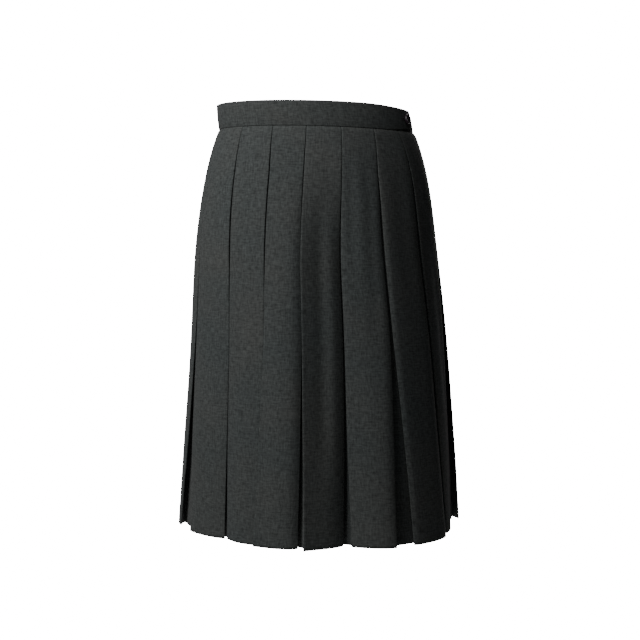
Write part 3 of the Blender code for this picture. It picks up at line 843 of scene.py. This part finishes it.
SEAT, SIDEWAYS, UPWARD, OUTWARD = button_axes()


def on_button(x, y, h):
    """Points given across, up and out from the button's seat."""
    x, y, h = (np.asarray(a)[..., None] for a in np.broadcast_arrays(x, y, h))
    return SEAT + x * SIDEWAYS + y * UPWARD + h * OUTWARD


print("button seat:", SEAT.round(4))

# %% Button
QUARTER_STEPS = 12
SIDE_STEPS = 6
HOLE_BEVEL = 0.2 * MM


def quarter_outline(radius):
    """Round a quarter disc: out along one side, round the arc and back along the other."""
    out = np.linspace(0, radius, SIDE_STEPS + 1)
    arc = np.linspace(0, math.pi / 2, QUARTER_STEPS + 1)[1:]
    x = np.concatenate([out, radius * np.cos(arc), 0 * out[1:]])
    y = np.concatenate([0 * out, radius * np.sin(arc), out[:-1][::-1]])
    return x, y


def drilled_quarters():
    """The four quarters, from the back's outline through the hole to the dish's outline."""
    hole = HOLE_REACH / math.sqrt(2)
    dish = BUTTON_THICKNESS - DISH_DEPTH
    dish_radius = BUTTON_RADIUS - RIM_WIDTH - DISH_SLOPE
    x, y = quarter_outline(dish_radius)
    angle = np.arctan2(y - hole, x - hole)
    ring = [hole + r * np.stack([np.cos(angle), np.sin(angle)])
            for r in (HOLE_RADIUS, HOLE_RADIUS + HOLE_BEVEL)]
    front = np.stack([x, y])
    rear = front * (BUTTON_RADIUS - BACK_INSET) / dish_radius
    middle = ring[1] + (front - ring[1]) * 0.5
    flat = np.stack([rear, ring[0], ring[0], ring[1], middle, front])
    heights = np.array([0, 0, dish - HOLE_BEVEL, dish, dish - DISH_HOLLOW, dish])
    turns = np.arange(4)[:, None, None] * math.pi / 2
    across = flat[None, :, 0] * np.cos(turns) - flat[None, :, 1] * np.sin(turns)
    up = flat[None, :, 0] * np.sin(turns) + flat[None, :, 1] * np.cos(turns)
    return on_button(across, up, heights[None, :, None])


def button_rim():
    """Turn the profile over the rim, down the side and under the edge."""
    rim = BUTTON_RADIUS - RIM_WIDTH
    top = BUTTON_THICKNESS
    r = np.array([rim - DISH_SLOPE, rim - 0.9 * MM, rim - 0.3 * MM, rim + 0.2 * MM,
                  rim + 0.8 * MM, BUTTON_RADIUS - 0.45 * MM, BUTTON_RADIUS - 0.1 * MM,
                  BUTTON_RADIUS, BUTTON_RADIUS, BUTTON_RADIUS - 0.3 * MM,
                  BUTTON_RADIUS - BACK_INSET])
    h = np.array([top - DISH_DEPTH, top - 0.8 * MM, top - 0.25 * MM, top - 0.03 * MM,
                  top, top - 0.12 * MM, top - 0.5 * MM, top - 1.0 * MM, 0.9 * MM,
                  0.25 * MM, 0.0])
    angle = np.linspace(0, 2 * math.pi, 4 * QUARTER_STEPS + 1)
    points = on_button(r[:, None] * np.cos(angle), r[:, None] * np.sin(angle), h[:, None])
    return points[None]


def join(name, *pieces):
    """Join separate meshes of one stuff into a single piece, and merge their doubles."""
    graph = bmesh.new()
    for piece in pieces:
        graph.from_mesh(piece.data)
        bpy.data.objects.remove(piece, do_unlink=True)
    mesh = bpy.data.meshes.new(name)
    graph.to_mesh(mesh)
    graph.free()
    made = placed(name, mesh)
    weld(made, 0.005 * MM, True)
    return made


button = join("button_body", surface("quarters", drilled_quarters()),
              surface("rim", button_rim()))
print("button:", len(button.data.polygons), "faces")

# %% [markdown]
# The button is sewn through its holes with two bars of thread, and its buttonhole shows as
# a short worked slit beside it. A strand is a capsule that arches over the dish from one
# hole down into the next; three side by side make a bar.

# %% Button thread
STRANDS = 3
STRAND_RADIUS = 0.24 * MM
STRAND_STEPS = np.linspace(-1, 1, 11)[None, :, None]
STRAND_SPACING = 1.7 * STRAND_RADIUS
ARCH_HEIGHT = 1.6 * MM
ARCH_SUNK = 1.1 * MM


def button_thread():
    """Strands over two pairs of holes: the height is an arch of 1 - t^4 over the dish."""
    bars = np.repeat([-1, 1], STRANDS)[:, None, None]
    beside = np.tile(np.arange(STRANDS) - (STRANDS - 1) / 2, 2)[:, None, None]
    hole = HOLE_REACH / math.sqrt(2)
    radius = STRAND_RADIUS * np.sqrt(1 - STRAND_STEPS ** 8)
    x = STRAND_STEPS * hole + 0 * ROUND
    y = bars * hole + beside * STRAND_SPACING + radius * np.cos(ROUND)
    arch = ARCH_HEIGHT * (1 - STRAND_STEPS ** 4) - ARCH_SUNK
    h = BUTTON_THICKNESS - DISH_DEPTH + arch + radius * np.sin(ROUND)
    return surface("button_thread", on_button(x, y, h), merge=FINE_MERGE, outward=True)


BUTTONHOLE_LENGTH = 17 * MM
BUTTONHOLE_SHIFT = -6 * MM
BUTTONHOLE_STITCHES = 44
PURL_WIDTH = 1.3 * MM
PURL_RADIUS = 0.2 * MM
PURL_LIFT = 0.05 * MM
SLIT_HALF_WIDTH = 0.25 * MM


def buttonhole():
    """Upright stitches close together above and below a slit, as on a worked buttonhole."""
    place = np.linspace(-0.5, 0.5, BUTTONHOLE_STITCHES)[:, None, None, None]
    side = np.array([-1, 1])[None, :, None, None]
    t = CAPSULE[None]
    radius = PURL_RADIUS * np.sqrt(1 - t ** 2)
    x = BUTTONHOLE_SHIFT + place * BUTTONHOLE_LENGTH + radius * np.cos(ROUND[None])
    rise = BAND_HEIGHT / 2 + side * (SLIT_HALF_WIDTH + PURL_WIDTH * (t + 1) / 2)
    bulge = BAND_FULLNESS * 0.4 + PURL_LIFT + radius * np.sin(ROUND[None])
    strip = BUTTON_PLACE + x / BAND_FOOT.pleat[0]
    points = band_points(strip, rise, -BAND_PROUD - bulge)
    points = points.reshape(-1, *points.shape[2:])
    return surface("buttonhole", points, merge=FINE_MERGE, outward=True)


thread = button_thread()
worked_hole = buttonhole()
print("thread:", len(thread.data.polygons) + len(worked_hole.data.polygons), "faces")

# %% [markdown]
# ## The zip
# The zip is sewn behind the closure pleat. Its tape follows the underlay, a hair behind it,
# and its coil is one nylon strand wound along the tape's middle: a flattened helix, whose
# loops are close enough to read as teeth. The slider sits at the top with its pull down.

# %% Zip tape
TAPE_HALF_WIDTH = 12 * MM
TAPE_THICKNESS = 0.7 * MM
UNDERLAY_SAG = 0.8 * MM


def closure_points(across, depth, s):
    """Points in the closure pleat: across the zip, inside the outline, below the seam.
    The levels are one for each row."""
    rings = skirt_rings(s)
    centre = (gap_place(CLOSURE, s) * rings.pleat)[:, None]
    across, depth = np.broadcast_arrays(across, depth)
    x, y = rings.points(centre + across, depth + 0 * centre)
    return np.stack([x, y, height(s[:, None], x, y)], axis=-1)


def tape_depth(s):
    """Depth of the tape's outer side at its left edge, middle and right edge."""
    folds = Folds(s)
    left = outer_end(folds, CLOSURE - 1, 1)[1]
    right = outer_end(folds, CLOSURE, -1)[1]
    back_of = behind(folds, CLOSURE) + SOLID_WALL / 2 + SEAM_GAP + UNDERLAY_SAG
    return np.concatenate([left, (left + right) / 2, right], axis=1) + back_of


def zip_tape():
    """A thin closed strip: out over the front, round its edges and back behind."""
    s = ZIP_START + np.linspace(0, ZIP_LENGTH, 61)
    across = np.linspace(-1, 1, 13)[None, :]
    edges = tape_depth(s)
    depth = np.where(across < 0, edges[:, 1:2] + (edges[:, :1] - edges[:, 1:2]) * -across,
                     edges[:, 1:2] + (edges[:, 2:] - edges[:, 1:2]) * across)
    wide = np.concatenate([across, across[:, ::-1], across[:, :1]], axis=1)
    deep = [depth, depth[:, ::-1] + TAPE_THICKNESS, depth[:, :1]]
    points = closure_points(wide * TAPE_HALF_WIDTH, np.concatenate(deep, axis=1), s)
    cloth = np.stack([wide * TAPE_HALF_WIDTH + 0 * s[:, None],
                      s[:, None] + 0 * wide], axis=-1)
    return surface("zip_strip", points[None], cloth[None], outward=True)


tape = zip_tape()
print("tape:", len(tape.data.polygons), "faces")

# %% Zip coil
COIL_PITCH = 1.4 * MM
COIL_HALF_WIDTH = 2.6 * MM
COIL_HALF_DEPTH = 0.55 * MM
COIL_STRAND = 0.28 * MM
COIL_START = 12 * MM


def zip_coil():
    """A strand on a flattened helix: across = width cos(a), out = depth sin(a), down = a."""
    length = ZIP_LENGTH - COIL_START
    turns = int(length / COIL_PITCH)
    angle = np.linspace(0, turns * 2 * math.pi, turns * 10 + 1)
    s = ZIP_START + COIL_START + angle / (2 * math.pi) * COIL_PITCH
    turn = np.linspace(0, 2 * math.pi, 6)[None, :]
    middle = tape_depth(s)[:, 1:2] - COIL_HALF_DEPTH - COIL_STRAND - 0.05 * MM
    swell = COIL_STRAND * np.cos(turn)
    across = (COIL_HALF_WIDTH + swell) * np.cos(angle)[:, None]
    depth = middle + (COIL_HALF_DEPTH + swell) * np.sin(angle)[:, None]
    points = closure_points(across, depth, s)
    points[..., 2] += COIL_STRAND * np.sin(turn)
    return surface("zip_coil", points[None], outward=True)


coil = zip_coil()
print("coil:", len(coil.data.polygons), "faces")

# %% Slider and pull
SLIDER_TOP = 8 * MM
SLIDER_LENGTH = 10 * MM
SLIDER_HALF_WIDTH = 3.5 * MM
SLIDER_THICKNESS = 2.0 * MM
PULL_LENGTH = 24 * MM
PULL_THICKNESS = 1.0 * MM
PULL_LIFT = 0.25 * MM
SLIDER_CLEARANCE = 0.5 * MM
PULL_DROP = 1 * MM
PULL_HALF_WIDTH = 2.6 * MM
NECK_DROP = 0.5 * MM
NECK_LENGTH = 3.5 * MM
NECK_HALF_WIDTH = 1.2 * MM
NECK_SUNK = 0.3 * MM
ROUNDNESS = 4


def rounded_plate(name, top, length, half_width, outer, thickness):
    """A plate with round corners. Its section is a superellipse, and so is its outline seen
    from the front: |across|^n + |down|^n = 1."""
    t = np.linspace(-1, 1, 25)
    outline = (1 - np.abs(t) ** ROUNDNESS) ** (1 / ROUNDNESS)
    angle = np.linspace(0, 2 * math.pi, 25)[None, :]
    cos, sin = np.cos(angle), np.sin(angle)
    across = np.sign(cos) * np.abs(cos) ** (2 / ROUNDNESS)
    out = np.sign(sin) * np.abs(sin) ** (2 / ROUNDNESS)
    s = top + length * (t + 1) / 2
    shrink = np.minimum(1, 4 * outline)[:, None]
    depth = outer + thickness / 2 * (1 - out * shrink)
    points = closure_points(across * outline[:, None] * half_width, depth, s)
    return surface(name, points[None], outward=True)


def slider():
    """The slider's body on the coil, the pull that lies on it, and the neck between them."""
    back_of = float(tape_depth(np.array([SLIDER_TOP]))[0, 1]) - SLIDER_CLEARANCE
    body = back_of - SLIDER_THICKNESS
    lying = body - PULL_LIFT - PULL_THICKNESS
    parts = [
        rounded_plate("body", SLIDER_TOP, SLIDER_LENGTH, SLIDER_HALF_WIDTH, body,
                      SLIDER_THICKNESS),
        rounded_plate("pull", SLIDER_TOP + PULL_DROP, PULL_LENGTH - PULL_DROP,
                      PULL_HALF_WIDTH, lying, PULL_THICKNESS),
        rounded_plate("neck", SLIDER_TOP + NECK_DROP, NECK_LENGTH, NECK_HALF_WIDTH,
                      lying + NECK_SUNK, PULL_THICKNESS + PULL_LIFT + 2 * NECK_SUNK),
    ]
    return join("zip_slider_body", *parts)


slider_body = slider()
print("slider:", len(slider_body.data.polygons), "faces")

# %% [markdown]
# ## Shader sums as Python expressions
# A node tree is hard to read as a list of links. Wrapping a socket in a small class that
# knows plus, minus and times lets a pattern be written as a formula, and each step of the
# formula adds its Math node.

# %% Shader helper
class Value:
    """A node's output. Sums with numbers or other values add Math nodes."""

    def __init__(self, graph, socket):
        self.graph = graph
        self.socket = socket

    def math(self, operation, *others):
        """A Math node on this value and others."""
        sockets = dict(enumerate((self, *others)))
        return self.graph.node("ShaderNodeMath", {"operation": operation}, sockets)

    def __add__(self, other):
        return self.math("ADD", other)

    def __sub__(self, other):
        return self.math("SUBTRACT", other)

    def __rsub__(self, other):
        return (self * -1.0) + other

    def __mul__(self, other):
        return self.math("MULTIPLY", other)

    def clamped(self):
        """The value, kept between 0 and 1."""
        return self.math("MINIMUM", 1.0).math("MAXIMUM", 0.0)


class Graph:
    """A new material's nodes, with one method that makes any of them."""

    def __init__(self, name):
        self.material = bpy.data.materials.new(name)
        self.material.use_nodes = True
        self.tree = self.material.node_tree
        self.tree.nodes.clear()

    def node(self, kind, settings=None, inputs=None, output=0):
        """Make a node, set its settings first and then its sockets' values or links."""
        made = self.tree.nodes.new(kind)
        for name, value in (settings or {}).items():
            setattr(made, name, value)
        for name, value in (inputs or {}).items():
            if isinstance(value, Value):
                self.tree.links.new(value.socket, made.inputs[name])
            else:
                made.inputs[name].default_value = value
        return Value(self, made.outputs[output]) if made.outputs else None

    def mix(self, factor, first, second):
        """Mix two colours."""
        inputs = {0: factor, 6: first, 7: second}
        return self.node("ShaderNodeMix", {"data_type": "RGBA"}, inputs, output=2)

    def bump(self, height, strength, distance):
        """A normal tipped by a height that is worth a distance in metres."""
        return self.node("ShaderNodeBump", inputs={
            "Height": height, "Strength": strength, "Distance": distance})

    def principled(self, colour, bump, roughness, **more):
        """Finish with the usual surface; more are its other sockets."""
        inputs = {"Base Color": colour, "Normal": bump, "Roughness": roughness}
        inputs.update({key.replace("_", " "): value for key, value in more.items()})
        return self.finish(self.node("ShaderNodeBsdfPrincipled", inputs=inputs))

    def finish(self, shader):
        """Send a shader to the material's output."""
        self.node("ShaderNodeOutputMaterial", inputs={"Surface": shader})
        return self.material


# %% [markdown]
# ## Charcoal suiting
# The cloth is a plain weave of melange yarn: light and dark fibres are spun together, so no
# yarn has one colour. Each yarn gets a noise that is stretched along it, and warp and weft
# take turns on top like a chequerboard. Uneven yarns lie next to each other in small groups,
# which read from a step away as short streaks both ways. A wide, faint cloud shifts the grey
# between cool and warm. The height of the yarns' crowns also lightens the grey, which is
# painted shade in the dips of the weave. The checks and streaks also feed a fine bump. The
# pattern reads the cloth's own coordinates, so it turns with each fold and its threads stay
# straight.

# %% Suiting
WARP_PITCH = 0.42 * MM
WEFT_PITCH = 0.45 * MM
FIBRE_LENGTH = 6 * MM
STREAK_WIDTH = 2.0 * MM
STREAK_LENGTH = 9 * MM
CLOUD = 110 * MM
COOL_GREY = ((0.0218, 0.0252, 0.0250, 1.0), (0.0640, 0.0725, 0.0715, 1.0))
WARM_GREY = ((0.0238, 0.0255, 0.0245, 1.0), (0.0690, 0.0730, 0.0700, 1.0))
WEAVE_BUMP = 0.06 * MM
CROSSING_SHARPNESS = 3.0
YARN_SHARE = 0.8
STREAK_SHARE = 1.15
CLOUD_SHARE = 0.2
YARN_SHADE_SHARE = 0.12
TONE_SHIFT = 1.21
WARMTH_GAIN = 2.4
WARMTH_SHIFT = 0.7
STREAK_RELIEF = 0.6


def stretched_noise(graph, cloth, across, along, detail):
    """Noise with one blob every across by along metres of cloth."""
    scale = {"Vector": cloth, "Scale": (1 / across, 1 / along, 1.0)}
    moved = graph.node("ShaderNodeMapping", inputs=scale)
    inputs = {"Vector": moved, "Scale": 1.0, "Detail": detail, "Roughness": 0.6}
    return graph.node("ShaderNodeTexNoise", {"noise_dimensions": "2D"}, inputs)


def plain_weave(graph, cloth):
    """The weave as two values: which yarn is on top, 0 or 1, and the height of its back.
    The product of two sines changes sign at every crossing."""
    parts = graph.node("ShaderNodeSeparateXYZ", inputs={"Vector": cloth})
    u, v = (Value(graph, socket) for socket in parts.socket.node.outputs[:2])
    ups = (u * (math.pi / WARP_PITCH)).math("SINE")
    downs = (v * (math.pi / WEFT_PITCH)).math("SINE")
    product = ups * downs
    return (product * CROSSING_SHARPNESS + 0.5).clamped(), product.math("ABSOLUTE")


def suiting(name):
    """Melange plain weave in charcoal, with painted shade in the dips of the weave."""
    graph = Graph(name)
    cloth = graph.node("ShaderNodeUVMap", {"uv_map": WEAVE_MAP})
    warp_up, yarn_height_and_shade = plain_weave(graph, cloth)
    warp = stretched_noise(graph, cloth, WARP_PITCH, FIBRE_LENGTH, 2.0)
    weft = stretched_noise(graph, cloth, FIBRE_LENGTH, WEFT_PITCH, 2.0)
    yarn = warp * warp_up + weft * (1 - warp_up)
    upright = stretched_noise(graph, cloth, STREAK_WIDTH, STREAK_LENGTH, 1.5)
    level = stretched_noise(graph, cloth, STREAK_LENGTH, STREAK_WIDTH, 1.5)
    streaks = upright + level
    cloud = stretched_noise(graph, cloth, CLOUD, CLOUD, 2.0)
    tone = yarn * YARN_SHARE + streaks * STREAK_SHARE + cloud * CLOUD_SHARE
    # The crowns of the yarns are painted lighter and the dips between crossings darker: painted
    # shade.
    tone = (tone + yarn_height_and_shade * YARN_SHADE_SHARE - TONE_SHIFT).clamped()
    warmth = (cloud * WARMTH_GAIN - WARMTH_SHIFT).clamped()
    cool = graph.mix(tone, *COOL_GREY)
    colour = graph.mix(warmth, cool, graph.mix(tone, *WARM_GREY))
    bump = graph.bump(yarn_height_and_shade + streaks * STREAK_RELIEF, 0.5, WEAVE_BUMP)
    return graph.principled(colour, bump, 0.9, Specular_IOR_Level=0.25,
                            Sheen_Weight=0.06, Sheen_Roughness=0.5)


SUITING = suiting("charcoal_suiting")
for piece in (front, back, band):
    piece.data.materials.append(SUITING)
print("suiting nodes:", len(SUITING.node_tree.nodes))

# %% [markdown]
# ## Small finishes
# Thread is matt and a little darker than the cloth. The button is polished plastic of a very
# dark plum, with faint clouds in it and a clear coat that gives its rim sharp lights. The
# zip is black: a ribbed tape with painted shade in the dips of its weave, a satin nylon coil
# and lacquered metal that shows wear where the lacquer is thin.

# %% Small finishes
def speckled(name, dark, light, scale, roughness, bump_depth=0.02 * MM, **constants):
    """A finish with noise between two colours and a slight bump of the same noise."""
    graph = Graph(name)
    place = graph.node("ShaderNodeTexCoord", output=3)
    noise = graph.node("ShaderNodeTexNoise", inputs={
        "Vector": place, "Scale": scale, "Detail": 3.0})
    bump = graph.bump(noise, 0.4, bump_depth)
    colour = graph.mix(noise, (*dark, 1.0), (*light, 1.0))
    return graph.principled(colour, bump, roughness, **constants)


def ribbed_tape(name):
    """Woven zip tape: fine ribs across it, as a wave along the tape's length, and painted shade
    that darkens the dips of its weave.
    """
    graph = Graph(name)
    cloth = graph.node("ShaderNodeUVMap", {"uv_map": WEAVE_MAP})
    warp_up, yarn_height_and_shade = plain_weave(graph, cloth)
    # The tape's colour follows the height of its weave: painted shade, darker in the dips and
    # lighter on the crowns.
    colour = graph.mix(yarn_height_and_shade, (0.006, 0.006, 0.007, 1.0), (0.020, 0.020, 0.022, 1.0))
    bump = graph.bump(yarn_height_and_shade + warp_up * 0.3, 0.6, 0.1 * MM)
    return graph.principled(colour, bump, 0.8)


THREAD = speckled("charcoal_thread", (0.024, 0.026, 0.026), (0.050, 0.053, 0.052),
                  2500.0, 0.7)
BUTTON_THREAD = speckled("dark_thread", (0.010, 0.009, 0.010), (0.026, 0.022, 0.024),
                         2500.0, 0.6)
BUTTON_PLASTIC = speckled("dark_plum_plastic", (0.010, 0.006, 0.009), (0.030, 0.018, 0.027),
                          260.0, 0.4, 0.004 * MM, Coat_Weight=0.25, Coat_Roughness=0.15)
COIL_NYLON = speckled("black_nylon", (0.008, 0.008, 0.009), (0.022, 0.022, 0.024),
                      1200.0, 0.35)
ZIP_METAL = speckled("black_lacquered_metal", (0.020, 0.020, 0.022), (0.060, 0.060, 0.062),
                     700.0, 0.32, 0.01 * MM, Metallic=0.6)
ZIP_WEAVE = ribbed_tape("black_zip_tape")

# %% [markdown]
# ## Place
# Every piece rides on the one body and stands for the solid that it dresses, which is
# hidden. The pleats hold most of the cloth that the sheets were cut from.

# %% Placing
PIECES = (
    (front, "skirt_front", "suiting", None),
    (back, "skirt_back", "suiting", None),
    (band, "waistband", "suiting", None),
    (stitches, "waistband", "suiting", THREAD),
    (worked_hole, "waistband", "suiting", BUTTON_THREAD),
    (thread, "button", "button_plastic", BUTTON_THREAD),
    (button, "button", "button_plastic", BUTTON_PLASTIC),
    (tape, "zip_tape", "zip_weave", ZIP_WEAVE),
    (coil, "zip_tape", "zip_weave", COIL_NYLON),
    (slider_body, "zip_slider", "zip_metal", ZIP_METAL),
)
for piece, node, slot, material in PIECES:
    if material:
        piece.data.materials.append(material)
    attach(piece, "root")
    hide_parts(node)

# %% [markdown]
# ## Camera
# The camera stands level, 1.67 m in front and a little below the waist, which is where the
# picture's perspective puts its eye level: above it the rings curve one way and below it the
# other. A vertical shift frames the skirt without tilting the camera.

# %% Camera
CAMERA_X = 6.5 * MM
CAMERA_DISTANCE = 1.67
CAMERA_HEIGHT = -0.1975
FOCAL_PIXELS = 1228.7
FRAME_PIXELS = 640
HORIZON_ROW = 266
SENSOR_WIDTH = 36
camera_data = bpy.data.cameras.new("camera")
camera_data.sensor_width = SENSOR_WIDTH
camera_data.lens = SENSOR_WIDTH * FOCAL_PIXELS / FRAME_PIXELS
camera_data.shift_y = -(FRAME_PIXELS / 2 - HORIZON_ROW) / FRAME_PIXELS
camera = placed("camera", camera_data)
camera.location = (CAMERA_X, -CAMERA_DISTANCE, CAMERA_HEIGHT)
camera.rotation_euler = (math.pi / 2, 0, 0)
bpy.context.scene.camera = camera
print("lens", round(camera_data.lens, 1), "mm")

# %% [markdown]
# ## Light
# The picture has one broad light from the wearer's right and very little from elsewhere:
# the faces that turn to the left are nearly black. Two weak lights behind the skirt show its
# other sides and don't reach the faces that the picture shows. The world is white where the
# camera sees it and dim as a light.

# %% World and lights
AIM = np.array((0.0, 0.0, -0.28))
AMBIENT = 0.04
BACKDROP = 20.0


def studio_world():
    """White for the camera's own rays, dim for all others."""
    world = bpy.data.worlds.new("studio")
    world.use_nodes = True
    tree = world.node_tree
    tree.nodes.clear()
    path = tree.nodes.new("ShaderNodeLightPath")
    either = tree.nodes.new("ShaderNodeMixShader")
    out = tree.nodes.new("ShaderNodeOutputWorld")
    tree.links.new(path.outputs["Is Camera Ray"], either.inputs[0])
    for socket, strength in ((1, AMBIENT), (2, BACKDROP)):
        shade = tree.nodes.new("ShaderNodeBackground")
        shade.inputs["Color"].default_value = (1, 1, 1, 1)
        shade.inputs["Strength"].default_value = strength
        tree.links.new(shade.outputs[0], either.inputs[socket])
    tree.links.new(either.outputs[0], out.inputs["Surface"])
    return world


def soft_light(name, azimuth, elevation, distance, size, power):
    """A square area light that faces the skirt. Azimuth 0 is in front, and below nought is
    at the viewer's left."""
    turn = math.radians(azimuth)
    up = math.radians(elevation)
    direction = np.array((math.sin(turn) * math.cos(up), -math.cos(turn) * math.cos(up),
                          math.sin(up)))
    data = bpy.data.lights.new(name, "AREA")
    data.shape = "SQUARE"
    data.size = size
    data.energy = power
    light = placed(name, data)
    light.location = AIM + distance * direction
    light.rotation_euler = Vector(-direction).to_track_quat("-Z", "Y").to_euler()


bpy.context.scene.world = studio_world()
soft_light("key", -47, 36, 1.6, 1.0, 25)
soft_light("fill", -25, 62, 1.5, 1.0, 4)
soft_light("back", 180, 35, 1.8, 1.2, 16)
soft_light("side", 160, 20, 1.8, 1.0, 9)

# %% [markdown]
# ## Floor
# The skirt is worn, so the floor is a leg's length below the hem. It is a pale disc that
# fades out towards its edge, which needs no backdrop behind it.

# %% Floor
FLOOR_LEVEL = -1.04
FLOOR_RADIUS = 1.0
FLOOR_FADE = 0.6


def floor_disc():
    """A flat disc from rings and spokes."""
    radius = np.linspace(0, FLOOR_RADIUS, 9)[:, None]
    angle = np.linspace(0, 2 * math.pi, 65)[None, :]
    x, y = radius * np.cos(angle), radius * np.sin(angle)
    points = np.stack([x, y, np.full_like(x, FLOOR_LEVEL)], axis=-1)
    return surface("floor", points[None])


def pale_floor(name):
    """Pale matt floor that turns clear towards its edge, by the distance from its middle."""
    graph = Graph(name)
    place = graph.node("ShaderNodeTexCoord", output=3)
    flat = graph.node("ShaderNodeVectorMath", {"operation": "MULTIPLY"},
                      {0: place, 1: (1.0, 1.0, 0.0)})
    length = graph.node("ShaderNodeVectorMath", {"operation": "LENGTH"}, {0: flat}, output=1)
    clear = ((length - FLOOR_FADE) * (1 / (FLOOR_RADIUS - FLOOR_FADE))).math("MAXIMUM", 0.0)
    matt = graph.node("ShaderNodeBsdfDiffuse", inputs={"Color": (0.80, 0.80, 0.79, 1.0)})
    see_through = graph.node("ShaderNodeBsdfTransparent")
    return graph.finish(graph.node("ShaderNodeMixShader", inputs={
        0: clear, 1: matt, 2: see_through}))


floor = floor_disc()
floor.data.materials.append(pale_floor("pale_floor"))
print("floor at", FLOOR_LEVEL, "m")
